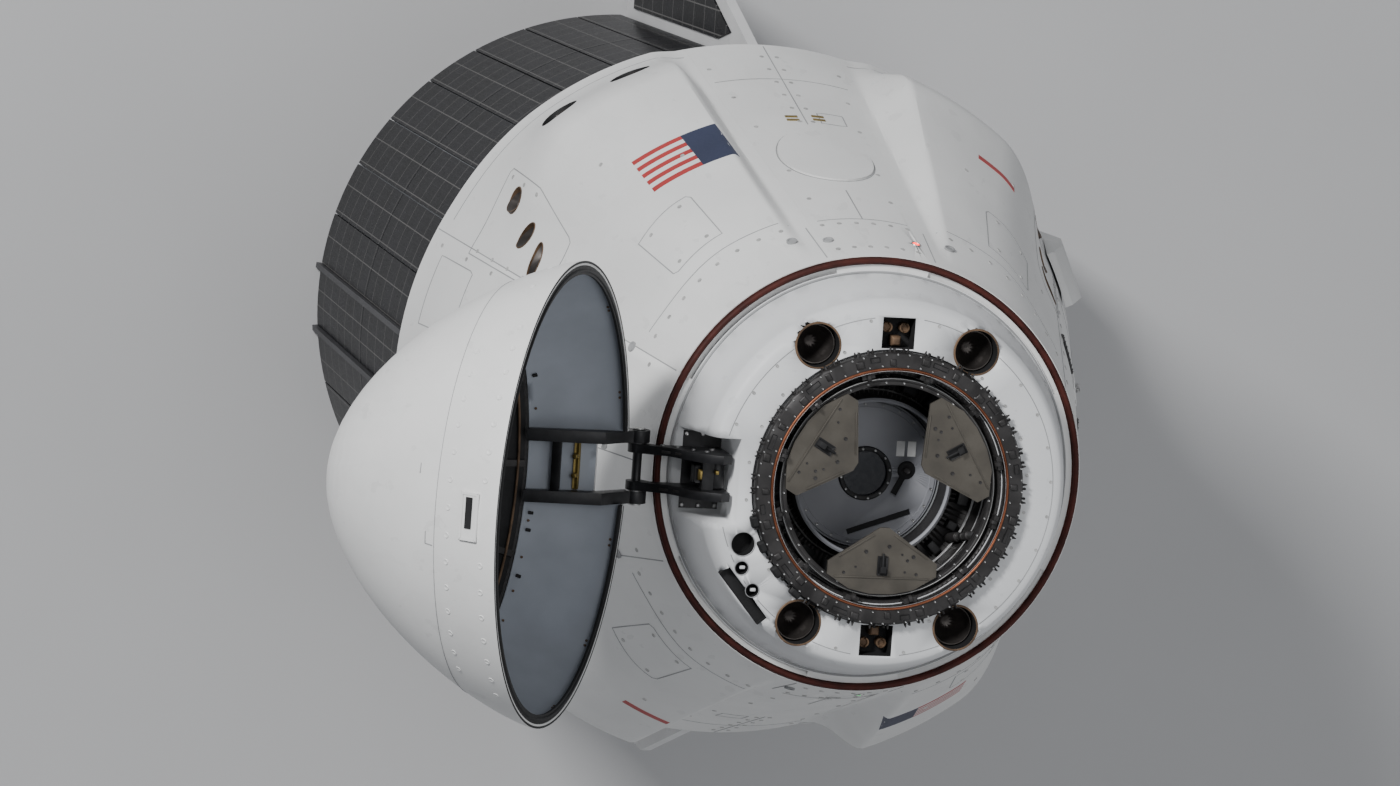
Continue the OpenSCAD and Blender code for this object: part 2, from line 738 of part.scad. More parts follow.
module nose_cone_liner() {
    steps = 8;
    outer = [for (i = [0:steps]) let (d = 16 + (liner_h - 16) * i / steps) [nose_in(d) - 3 * fit, d]];
    inner = [for (p = outer) [p[0] - liner_t, p[1]]];
    color(pale_grey) opened() difference() {
        translate([0, 0, rim_z]) rotate_extrude($fn = 180) polygon(concat(outer, reversed(inner)));
        rim_slot();
    }
}

module nose_rim_seal() {
    color(soot) opened() difference() {
        translate([0, 0, rim_z]) rotate_extrude($fn = 180) polygon([[nose_in(14) - 3 * fit, 1],
            [nose_in(14) - 3 * fit, 14], [nose_r - nose_wall - 46, 14], [nose_r - nose_wall - 46, 1]]);
        rim_slot();
    }
}

// Outline of a nose hinge arm, closed, in the x and z plane
module arm_outline() {
    reach = liner_h + rim_z - 6;
    liner_x = nose_in(liner_h) - liner_t - 26;
    foot_x = nose_in(slot_h) - liner_t - 22;
    difference() {
        union() {
            translate([hinge_x, hinge_z]) circle(58);
            polygon([[hinge_x - 8, hinge_z + 56], [hinge_x + 20, hinge_z - 20], [-top_r + 24, rim_z + 20],
                [-foot_x + 60, rim_z + slot_h * 0.55], [-liner_x + 46, reach], [-liner_x, reach],
                [-foot_x, rim_z + slot_h - 2]]);
        }
        translate([hinge_x, hinge_z]) circle(hinge_pin_r + 0.06);
    }
}

module nose_hinge_arms() {
    color(soot) opened() {
        for (side = [-1, 1]) translate([0, (side > 0 ? arm_out : -arm_in), 0]) rotate([90, 0, 0])
            linear_extrude(arm_t) arm_outline();
        translate([-nose_in(liner_h * 0.75) + liner_t + 16, -arm_in - 1, rim_z + liner_h * 0.65])
            cube([30, 2 * arm_in + 2, 44]);
    }
}

// Outline of a bracket ear, in the x and z plane
module ear_outline() {
    polygon([[hinge_x - 40, hinge_z + 34], [hinge_x - 10, hinge_z + 52], [-top_r + 60, rim_z + 96],
        [-bay_x - 190, deck_z - 120], [-bay_x - 70, deck_z - 60], [-bay_x - 20, deck_z - 90],
        [-bay_x - 20, bay_floor + fit], [-deck_foot_r + 2, bay_floor + fit],
        [-top_r + 2, seal_top + 2], [hinge_x + 34, hinge_z - 30], [hinge_x, hinge_z - 46]]);
    translate([hinge_x, hinge_z]) circle(52);
}

module nose_hinge_bracket() {
    color(soot) {
        for (side = [-1, 1]) translate([0, (side > 0 ? ear_out : -ear_in), 0]) rotate([90, 0, 0])
            linear_extrude(ear_t) ear_outline();
        translate([-bay_x - 150, -ear_in - 1, bay_floor + 60]) cube([60, 2 * ear_in + 2, 150]);
        translate([hinge_x, arm_out, hinge_z]) rotate([90, 0, 0]) cylinder(r = hinge_pin_r, h = 2 * arm_out);
    }
}

// ---------------------------------------------------------------- outside fittings

module umbilical_fairing() {
    box_w = 330;
    color(white) rotate([0, 0, 24]) difference() {
        translate([trunk_r - 60, box_w / 2, 0]) rotate([90, 0, 0]) linear_extrude(box_w)
            polygon([[0, base_z - 340], [170, base_z - 340], [232, base_z - 270], [240, base_z + 150],
                [200, base_z + 330], [120, base_z + 420], [0, base_z + 420]]);
        rotate([0, 0, -40]) rotate_extrude(angle = 80, $fn = 180) polygon([[0, base_z - 400],
            [trunk_r + panel_t + 14 + fit, base_z - 400], [trunk_r + panel_t + 14 + fit, trunk_len - 2],
            [base_r + fit, trunk_len - 2], [base_r + fit, base_z],
            [wall_r(500) + 16, base_z + 500], [0, base_z + 500]]);
    }
}

// ---------------------------------------------------------------- trunk

module trunk_half(from, to) {
    swept(from, to) polygon([[shell_in, ring_h], [trunk_r, ring_h], [trunk_r, trunk_len - ring_h],
        [shell_in, trunk_len - ring_h]]);
}

module trunk_solar_half() { color(pale_grey) trunk_half(90, 270); }
module trunk_radiator_half() { color(white) trunk_half(-90, 90); }

module trunk_rings() {
    bolt_circle = trunk_r - ring_depth / 2;
    color(bare_metal) {
        difference() {
            ring(trunk_r - ring_depth, trunk_r, 0, ring_h);
            for (k = [0:aft_bolts - 1]) rotate([0, 0, k * 360 / aft_bolts])
                translate([bolt_circle, 0, -1]) cylinder(r = aft_bolt_r, h = ring_h + 2);
        }
        ring(trunk_r - ring_depth, trunk_r, trunk_len - ring_h, trunk_len);
    }
}

mid_z = trunk_len / 2;

// One curved panel seated on the trunk shell
module curved_panel(from, to, low, high, thick) {
    gap = panel_gap / trunk_r * 57.3 / 2;
    swept(from + gap, to - gap) polygon([[trunk_r + fit, low + panel_gap / 2],
        [trunk_r + fit + thick, low + panel_gap / 2], [trunk_r + fit + thick, high - panel_gap / 2],
        [trunk_r + fit, high - panel_gap / 2]]);
}

// Edges of the solar columns, in degrees from the hinge side
column_edges = concat([for (k = [0:column_count]) strip_half + k * column_pitch], [88.2]);
rail_clear = rail_w / trunk_r * 57.3 / 2;

module solar_panels() {
    color(cell_black) for (band = [[ring_h * 0.4, mid_z], [mid_z, trunk_len - 6]]) {
        curved_panel(180 - strip_half + rail_clear, 180 + strip_half - rail_clear, band[0], band[1], panel_t);
        for (k = [0:column_count]) {
            near = column_edges[k] + (k == 0 ? rail_clear : 0);
            curved_panel(180 + near, 180 + column_edges[k + 1], band[0], band[1], panel_t);
            curved_panel(180 - column_edges[k + 1], 180 - near, band[0], band[1], panel_t);
        }
    }
}

module panel_rails() {
    color(dark_metal) for (a = [180 - strip_half, 180 + strip_half]) rotate([0, 0, a]) difference() {
        translate([trunk_r - 20, -rail_w / 2, 12]) cube([20 + rail_rise, rail_w, trunk_len - 24]);
        cylinder(r = trunk_r + fit, h = trunk_len, $fn = 180);
    }
}

radiator_edges = [-88.2, -66, -44, -fin_hatch_angle - 1.4];

module radiator_panels() {
    inner_edge = fin_hatch_angle - 1.4;
    color(white) for (band = [[ring_h * 0.4, mid_z], [mid_z, trunk_len - 6]]) {
        for (k = [0:2], side = [0, 1]) mirror([0, side, 0])
            curved_panel(radiator_edges[k], radiator_edges[k + 1], band[0], band[1], panel_t);
        curved_panel(-inner_edge, 0, band[0], band[1], panel_t);
        curved_panel(0, inner_edge, band[0], band[1], panel_t);
    }
}

// Radial plate whose leading edge starts under the capsule's edge
module fin(start) {
    root = trunk_r + fit;
    lead = start - (fin_span - 60) / tan(fin_sweep);
    rotate([90, 0, 0]) translate([0, 0, -fin_t / 2]) linear_extrude(fin_t)
        polygon([[root, start], [root + 60, start], [root + fin_span, lead], [root + fin_span, 260],
            [root + fin_span - 90, 150], [root, 60]]);
}

fin_start = trunk_len - 20;
low_fin_start = base_z - 560;

module fins() {
    color(white) {
        for (a = [90, 270]) rotate([0, 0, a]) fin(fin_start);
        for (a = [-fin_hatch_angle, fin_hatch_angle]) rotate([0, 0, a]) fin(low_fin_start);
    }
}

// Cell sheets on the fins' sides that face the solar half
module fin_solar_cells() {
    root = trunk_r + panel_t + 60;
    out = fin_span - 170;
    high = fin_start - 900;
    rise = (fin_span - 60) / tan(fin_sweep);
    low_lead = fin_start - rise;
    color(cell_black) for (side = [0, 1]) mirror([0, side, 0])
        translate([-fin_t / 2 - fit - fin_cell_t, 0, 0]) rotate([90, 0, 90]) linear_extrude(fin_cell_t)
            polygon([[root, 330], [root + out, 330], [root + out, low_lead - 40],
                [root + 60, low_lead + (out - 60) / tan(fin_sweep) - 40], [root, high]]);
}

heat_shield();
hinge_side_panel();
hatch_side_panel();
port_panel();
starboard_panel();
pod_port_hinge_side();
pod_port_hatch_side();
pod_starboard_hinge_side();
pod_starboard_hatch_side();
abort_engine_nozzles();
side_thruster_nozzles();
forward_bulkhead();
forward_deck();
forward_thruster_nozzles();
seal_ring();
docking_tunnel();
docking_ring();
soft_capture_ring();
guide_petals();
capture_struts();
tunnel_hatch();
tunnel_hatch_window();
side_hatch();
side_hatch_window();
side_hatch_hinge();
side_windows();
cabin_floor();
crew_seats();
control_panel();
nose_cone_shell();
nose_cone_liner();
nose_rim_seal();
nose_hinge_arms();
nose_hinge_bracket();
umbilical_fairing();
port_cover();
navigation_lights();
trunk_solar_half();
trunk_radiator_half();
trunk_rings();
solar_panels();
panel_rails();
radiator_panels();
fins();
fin_solar_cells();
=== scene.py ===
"""Looks of a crewed space capsule on its trunk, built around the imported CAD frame."""
import json
import logging
import math
import random
from dataclasses import dataclass, field
from enum import Enum
from typing import Callable, Iterable, Sequence

import bmesh
import bpy
from mathutils import Matrix, Vector
from mathutils.bvhtree import BVHTree

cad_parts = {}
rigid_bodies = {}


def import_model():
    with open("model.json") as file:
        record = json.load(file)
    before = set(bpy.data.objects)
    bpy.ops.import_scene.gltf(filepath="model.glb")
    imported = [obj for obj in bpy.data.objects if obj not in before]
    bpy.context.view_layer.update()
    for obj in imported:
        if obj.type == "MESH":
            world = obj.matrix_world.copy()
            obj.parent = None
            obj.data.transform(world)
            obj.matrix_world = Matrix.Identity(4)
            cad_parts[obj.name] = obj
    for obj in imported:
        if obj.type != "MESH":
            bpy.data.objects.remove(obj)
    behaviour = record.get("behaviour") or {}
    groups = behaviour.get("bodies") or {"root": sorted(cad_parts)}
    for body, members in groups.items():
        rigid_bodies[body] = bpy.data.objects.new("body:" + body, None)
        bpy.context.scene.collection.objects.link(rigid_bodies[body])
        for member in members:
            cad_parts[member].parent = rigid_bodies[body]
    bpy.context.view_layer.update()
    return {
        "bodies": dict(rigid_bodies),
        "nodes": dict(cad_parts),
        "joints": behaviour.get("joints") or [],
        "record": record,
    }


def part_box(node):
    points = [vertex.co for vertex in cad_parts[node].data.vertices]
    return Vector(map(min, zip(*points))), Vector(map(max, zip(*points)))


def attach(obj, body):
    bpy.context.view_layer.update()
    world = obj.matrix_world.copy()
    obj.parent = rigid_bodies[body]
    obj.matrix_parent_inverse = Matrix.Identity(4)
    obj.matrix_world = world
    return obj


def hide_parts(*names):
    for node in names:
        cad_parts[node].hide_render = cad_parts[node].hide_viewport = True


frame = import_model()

log = logging.getLogger("capsule")


class Body(Enum):
    """The CAD bodies that pieces ride on."""

    CAPSULE = "capsule"
    NOSE = "nose_cone"
    DOOR = "crew_hatch"
    TUNNEL = "tunnel_door"


# ---------------------------------------------------------------- finishes


class Nodes:
    """A material's node tree, with short calls for the nodes that the finishes share."""

    def __init__(self, name: str) -> None:
        """Starts a material.

        Args:
            name: the material's name.
        """
        self.material = bpy.data.materials.new(name)
        self.material.use_nodes = True
        self.tree = self.material.node_tree
        self.shader = self.tree.nodes["Principled BSDF"]
        self.place = self.add("ShaderNodeTexCoord").outputs["Object"]

    def add(self, kind: str, **values: object) -> bpy.types.Node:
        """Adds a node and sets its properties.

        Args:
            kind: Blender's name for the node type.
            **values: properties of the node.

        Returns:
            The new node.
        """
        node = self.tree.nodes.new(kind)
        for key, value in values.items():
            setattr(node, key, value)
        return node

    def link(self, source: bpy.types.NodeSocket, target: bpy.types.NodeSocket) -> None:
        """Joins two sockets."""
        self.tree.links.new(source, target)

    def math(self, kind: str, *values: object) -> bpy.types.NodeSocket:
        """Adds a Math node.

        Args:
            kind: the operation.
            *values: numbers or sockets, in order.

        Returns:
            The node's output.
        """
        node = self.add("ShaderNodeMath", operation=kind)
        for index, value in enumerate(values):
            if isinstance(value, bpy.types.NodeSocket):
                self.link(value, node.inputs[index])
            else:
                node.inputs[index].default_value = value
        return node.outputs[0]

    def noise(self, scale: float, detail: float = 4.0,
              stretch: Sequence[float] = (1, 1, 1)) -> bpy.types.NodeSocket:
        """Adds noise on the object's own coordinates.

        Args:
            scale: how fine it is, per metre.
            detail: octaves.
            stretch: scale along each axis.

        Returns:
            The noise's factor.
        """
        mapping = self.add("ShaderNodeMapping")
        mapping.inputs["Scale"].default_value = tuple(stretch)
        self.link(self.place, mapping.inputs["Vector"])
        node = self.add("ShaderNodeTexNoise")
        node.inputs["Scale"].default_value = scale
        node.inputs["Detail"].default_value = detail
        self.link(mapping.outputs[0], node.inputs["Vector"])
        return node.outputs["Fac"]

    def ramp(self, factor: bpy.types.NodeSocket,
             stops: Sequence[tuple[float, Sequence[float]]]) -> bpy.types.NodeSocket:
        """Adds a colour ramp.

        Args:
            factor: what drives it.
            stops: places and colours.

        Returns:
            The ramp's colour.
        """
        node = self.add("ShaderNodeValToRGB")
        elements = node.color_ramp.elements
        for index, (where, colour) in enumerate(stops):
            element = elements[index] if index < 2 else elements.new(where)
            element.position = where
            element.color = (*colour[:3], 1.0)
        self.link(factor, node.inputs["Fac"])
        return node.outputs["Color"]

    def mix(self, factor: object, first: object, second: object) -> bpy.types.NodeSocket:
        """Mixes two colours.

        Args:
            factor: a number or socket.
            first: the colour at 0.
            second: the colour at 1.

        Returns:
            The mixed colour.
        """
        node = self.add("ShaderNodeMix", data_type="RGBA")
        for socket, value in ((node.inputs[0], factor), (node.inputs[6], first), (node.inputs[7], second)):
            if isinstance(value, bpy.types.NodeSocket):
                self.link(value, socket)
            elif isinstance(value, (int, float)):
                socket.default_value = value
            else:
                socket.default_value = (*value[:3], 1.0)
        return node.outputs[2]

    def bump(self, height: bpy.types.NodeSocket, strength: float, distance: float) -> None:
        """Bumps the surface.

        Args:
            height: the relief.
            strength: how strong it is, 0 to 1.
            distance: its depth in metres.
        """
        node = self.add("ShaderNodeBump")
        node.inputs["Strength"].default_value = strength
        node.inputs["Distance"].default_value = distance
        self.link(height, node.inputs["Height"])
        self.link(node.outputs[0], self.shader.inputs["Normal"])

    def xyz(self) -> tuple[bpy.types.NodeSocket, bpy.types.NodeSocket, bpy.types.NodeSocket]:
        """The surface point's X, Y and Z."""
        node = self.add("ShaderNodeSeparateXYZ")
        self.link(self.place, node.inputs[0])
        return node.outputs[0], node.outputs[1], node.outputs[2]

    def line(self, value: bpy.types.NodeSocket, centre: float, half: float) -> bpy.types.NodeSocket:
        """A mask that is 1 within half of a value."""
        return self.math("LESS_THAN", self.math("ABSOLUTE", self.math("SUBTRACT", value, centre)), half)


@dataclass(frozen=True)
class Finish:
    """A painted, coated or bare surface with mottling and fine relief."""

    name: str
    colour: tuple[float, float, float]
    roughness: float = 0.5
    metallic: float = 0.0
    mottle: float = 0.08
    mottle_scale: float = 2.5
    grain: float = 60.0
    relief: float = 0.0006
    coat: float = 0.0
    streak: float = 0.0
    specular: float = 0.5

    def build(self) -> bpy.types.Material:
        """Makes the material.

        Returns:
            The finished material.
        """
        n = Nodes(self.name)
        n.shader.inputs["Metallic"].default_value = self.metallic
        n.shader.inputs["Coat Weight"].default_value = self.coat
        n.shader.inputs["Specular IOR Level"].default_value = self.specular
        self.dress(n, self.base(n))
        fine = n.noise(self.grain, 3.0)
        rough = n.math("MULTIPLY_ADD", fine, 0.16, self.roughness - 0.08)
        n.link(rough, n.shader.inputs["Roughness"])
        return n.material

    def base(self, n: Nodes) -> bpy.types.NodeSocket:
        """The mottled colour.

        Args:
            n: the material's nodes.

        Returns:
            The colour.
        """
        dark = [c * (1 - self.mottle) for c in self.colour]
        light = [min(1.0, c * (1 + self.mottle * 0.6)) for c in self.colour]
        colour = n.ramp(n.noise(self.mottle_scale, 6.0), ((0.35, dark), (0.65, light)))
        if self.streak:
            streaks = n.noise(5.0, 5.0, (1.0, 1.0, 0.12))
            faded = n.math("MULTIPLY", n.math("GREATER_THAN", streaks, 0.56), self.streak)
            colour = n.mix(faded, colour, [c * 0.8 for c in self.colour])
        return colour

    def dress(self, n: Nodes, colour: bpy.types.NodeSocket) -> None:
        """Sets the colour and the relief.

        Args:
            n: the material's nodes.
            colour: the base colour.
        """
        n.link(colour, n.shader.inputs["Base Color"])
        n.bump(n.noise(self.grain, 5.0), 0.35, self.relief)


@dataclass(frozen=True)
class WallPaint(Finish):
    """White paint that has weathered: faint streaks down the slope and small scuffs."""

    def dress(self, n: Nodes, colour: bpy.types.NodeSocket) -> None:
        """Adds scuffs to the paint and a gentle waviness to its surface.

        Args:
            n: the material's nodes.
            colour: the base colour.
        """
        scuffs = n.math("GREATER_THAN", n.noise(9.0, 8.0, (1.0, 1.0, 0.5)), 0.66)
        colour = n.mix(n.math("MULTIPLY", scuffs, 0.25), colour, [c * 0.72 for c in self.colour])
        n.link(colour, n.shader.inputs["Base Color"])
        wave = n.math("MULTIPLY_ADD", n.noise(1.7, 2.0), 4.0, n.noise(self.grain, 4.0))
        n.bump(wave, 0.3, self.relief)


@dataclass(frozen=True)
class SolarCells(Finish):
    """Black cells under glass with thin bus lines, laid out by angle round the trunk and by height."""

    cell_angle: float = 5.25
    cell_height: float = 0.3

    def dress(self, n: Nodes, colour: bpy.types.NodeSocket) -> None:
        """Draws the gaps between cells and the bus lines on them.

        Args:
            n: the material's nodes.
            colour: the cells' colour.
        """
        x, y, z = n.xyz()
        turn = n.math("MULTIPLY", n.math("ARCTAN2", y, x), 180.0 / math.pi / self.cell_angle)
        rise = n.math("DIVIDE", z, self.cell_height)
        gaps = n.math("MAXIMUM", self.comb(n, turn, 0.02), self.comb(n, rise, 0.016))
        bus = n.math("MAXIMUM", self.comb(n, n.math("MULTIPLY", turn, 3.0), 0.02),
                     self.comb(n, n.math("MULTIPLY", rise, 8.0), 0.035))
        colour = n.mix(n.math("MULTIPLY", bus, 0.35), colour, (0.05, 0.05, 0.055))
        colour = n.mix(n.math("MULTIPLY", gaps, 0.8), colour, (0.14, 0.135, 0.13))
        n.link(colour, n.shader.inputs["Base Color"])
        n.bump(n.math("SUBTRACT", 1.0, gaps), 0.4, 0.001)

    def comb(self, n: Nodes, value: bpy.types.NodeSocket, half: float) -> bpy.types.NodeSocket:
        """A mask of thin lines at whole numbers of a value.

        Args:
            n: the material's nodes.
            value: the value.
            half: half a line's width, in the same unit.

        Returns:
            The mask.
        """
        near = n.math("ABSOLUTE", n.math("SUBTRACT", n.math("FRACT", value), 0.5))
        return n.math("GREATER_THAN", near, 0.5 - half)


@dataclass(frozen=True)
class FinCells(SolarCells):
    """The same cells on a flat fin, laid out by distance from the trunk and by height."""

    cell_width: float = 0.14

    def dress(self, n: Nodes, colour: bpy.types.NodeSocket) -> None:
        """Draws the gaps between the flat cells.

        Args:
            n: the material's nodes.
            colour: the cells' colour.
        """
        _, y, z = n.xyz()
        out = n.math("DIVIDE", y, self.cell_width)
        rise = n.math("DIVIDE", z, self.cell_height)
        gaps = n.math("MAXIMUM", self.comb(n, out, 0.03), self.comb(n, rise, 0.018))
        n.link(n.mix(n.math("MULTIPLY", gaps, 0.8), colour, (0.16, 0.155, 0.15)),
               n.shader.inputs["Base Color"])
        n.bump(n.math("SUBTRACT", 1.0, gaps), 0.4, 0.001)


@dataclass(frozen=True)
class Tiles(Finish):
    """Ablative blocks with dark joints between them."""

    pitch: float = 0.21

    def dress(self, n: Nodes, colour: bpy.types.NodeSocket) -> None:
        """Draws the blocks' joints.

        Args:
            n: the material's nodes.
            colour: the blocks' colour.
        """
        x, y, _ = n.xyz()
        joints = n.math("MAXIMUM", self.joint(n, x), self.joint(n, y))
        n.link(n.mix(joints, colour, [c * 0.35 for c in self.colour]), n.shader.inputs["Base Color"])
        n.bump(n.math("SUBTRACT", n.noise(self.grain, 6.0), joints), 0.6, 0.003)

    def joint(self, n: Nodes, value: bpy.types.NodeSocket) -> bpy.types.NodeSocket:
        """A mask of the joints across one direction."""
        place = n.math("FRACT", n.math("DIVIDE", value, self.pitch))
        return n.math("LESS_THAN", place, 0.03)


@dataclass(frozen=True)
class Lens(Finish):
    """Two lamp lenses in one finish: one colour on the port side, another on the starboard side."""

    other: tuple[float, float, float] = (0.0, 0.6, 0.1)
    glow: float = 5.0

    def dress(self, n: Nodes, colour: bpy.types.NodeSocket) -> None:
        """Colours and lights the lenses.

        Args:
            n: the material's nodes.
            colour: the port lens's colour.
        """
        _, y, _ = n.xyz()
        tint = n.mix(n.math("GREATER_THAN", y, 0.0), self.other, colour)
        n.link(tint, n.shader.inputs["Base Color"])
        n.link(tint, n.shader.inputs["Emission Color"])
        n.shader.inputs["Emission Strength"].default_value = self.glow


@dataclass(frozen=True)
class Cloth(Finish):
    """Woven seat fabric."""

    def dress(self, n: Nodes, colour: bpy.types.NodeSocket) -> None:
        """Adds the weave and its sheen.

        Args:
            n: the material's nodes.
            colour: the fabric's colour.
        """
        n.link(colour, n.shader.inputs["Base Color"])
        n.shader.inputs["Sheen Weight"].default_value = 0.3
        x, y, z = n.xyz()
        warp = n.math("SINE", n.math("MULTIPLY", n.math("ADD", x, z), 1400.0))
        weft = n.math("SINE", n.math("MULTIPLY", y, 1400.0))
        n.bump(n.math("MULTIPLY", warp, weft), 0.5, 0.0006)


WHITE = (0.80, 0.80, 0.79)
FINISHES: dict[str, Finish] = {
    "wall_white": WallPaint("wall_white", WHITE, 0.42, mottle=0.045, mottle_scale=1.6, streak=0.10,
                            relief=0.0012),
    "deck_white": WallPaint("deck_white", (0.74, 0.75, 0.76), 0.5, mottle=0.04, relief=0.0006),
    "heat_shield_black": Tiles("heat_shield_black", (0.035, 0.034, 0.034), 0.85, mottle=0.35),
    "inner_grey": Finish("inner_grey", (0.30, 0.31, 0.32), 0.55),
    "nozzle_metal": Finish("nozzle_metal", (0.10, 0.09, 0.085), 0.45, 0.85, mottle=0.35, mottle_scale=9.0),
    "seal_red": Finish("seal_red", (0.062, 0.012, 0.008), 0.65, specular=0.3, mottle=0.35, mottle_scale=14.0),
    "adapter_dark": Finish("adapter_dark", (0.036, 0.034, 0.034), 0.48, 0.35, mottle=0.35, mottle_scale=7.0),
    "bare_metal": Finish("bare_metal", (0.52, 0.52, 0.51), 0.34, 0.95, mottle=0.14, mottle_scale=8.0),
    # darkened to the tone of the petals in shadow: painted shade in the petals' colour
    "petal_metal": Finish("petal_metal", (0.105, 0.095, 0.08), 0.5, 0.5, mottle=0.22, mottle_scale=6.0),
    "hatch_grey": Finish("hatch_grey", (0.27, 0.275, 0.30), 0.55, mottle=0.12),
    "window_glass": Finish("window_glass", (0.008, 0.010, 0.016), 0.12, mottle=0.2, relief=0.0, coat=0.6),
    "seat_dark": Finish("seat_dark", (0.045, 0.046, 0.05), 0.55, mottle=0.15),
    "panel_dark": Finish("panel_dark", (0.03, 0.03, 0.033), 0.45, mottle=0.15),
    "liner_grey": Finish("liner_grey", (0.36, 0.39, 0.44), 0.62, mottle=0.09, mottle_scale=4.0, relief=0.001),
    "rim_black": Finish("rim_black", (0.014, 0.014, 0.015), 0.6, mottle=0.3),
    "hinge_black": Finish("hinge_black", (0.022, 0.022, 0.024), 0.42, 0.3, mottle=0.4, mottle_scale=12.0),
    "lamp_lens": Lens("lamp_lens", (0.9, 0.02, 0.01), 0.25),
    "trunk_grey": Finish("trunk_grey", (0.24, 0.25, 0.27), 0.55, mottle=0.16),
    "ring_metal": Finish("ring_metal", (0.42, 0.43, 0.45), 0.4, 0.85, mottle=0.15),
    "solar_cells": SolarCells("solar_cells", (0.004, 0.004, 0.006), 0.3, mottle=0.5, mottle_scale=3.0,
                              specular=0.03),
    "rail_dark": Finish("rail_dark", (0.06, 0.06, 0.065), 0.5, 0.5, mottle=0.2),
    "radiator_white": Finish("radiator_white", (0.70, 0.71, 0.72), 0.4, mottle=0.05),
    "fin_white": WallPaint("fin_white", (0.72, 0.72, 0.72), 0.45, mottle=0.06),
}
EXTRA: dict[str, Finish] = {
    "fin_cells": FinCells("fin_cells", (0.004, 0.004, 0.006), 0.3, mottle=0.5, specular=0.03),
    "seam_grey": Finish("seam_grey", (0.34, 0.345, 0.35), 0.7, mottle=0.2),
    "fastener_grey": Finish("fastener_grey", (0.50, 0.50, 0.49), 0.5, 0.3, mottle=0.25, mottle_scale=30.0),
    "stripe_red": Finish("stripe_red", (0.42, 0.035, 0.035), 0.5, mottle=0.12),
    "stripe_white": Finish("stripe_white", (0.78, 0.78, 0.77), 0.5, mottle=0.06),
    "patch_blue": Finish("patch_blue", (0.022, 0.03, 0.07), 0.5, mottle=0.15),
    "copper": Finish("copper", (0.26, 0.095, 0.05), 0.42, 0.9, mottle=0.25, mottle_scale=12.0),
    "brass": Finish("brass", (0.34, 0.25, 0.08), 0.42, 0.85, mottle=0.3, mottle_scale=20.0),
    "scorched": Finish("scorched", (0.16, 0.10, 0.06), 0.6, 0.4, mottle=0.45, mottle_scale=12.0),
    # near-black: the colour of small dark parts, and painted shade on the liners set inside holes, wells,
    # notches and bores
    "black_parts_and_painted_hole_shade": Finish("black_parts_and_painted_hole_shade", (0.010, 0.010, 0.011), 0.75, mottle=0.4, mottle_scale=5.0,
                           relief=0.003),
    "cushion": Cloth("cushion", (0.10, 0.105, 0.115), 0.85, mottle=0.12, mottle_scale=6.0),
    "bolt_steel": Finish("bolt_steel", (0.36, 0.36, 0.36), 0.38, 0.9, mottle=0.2, mottle_scale=40.0),
    "floor_grey": Finish("floor_grey", (0.56, 0.56, 0.565), 0.85, mottle=0.02, mottle_scale=0.4,
                         relief=0.0003),
}


class Palette:
    """Makes each finish's material once."""

    made: dict[str, bpy.types.Material] = {}

    @classmethod
    def get(cls, name: str) -> bpy.types.Material:
        """The material of a finish.

        Args:
            name: a key of FINISHES or EXTRA.

        Returns:
            Its material.
        """
        if name not in cls.made:
            cls.made[name] = (FINISHES.get(name) or EXTRA[name]).build()
        return cls.made[name]


# ---------------------------------------------------------------- modelling bench

Pick = Callable[[Vector, Vector], bool]


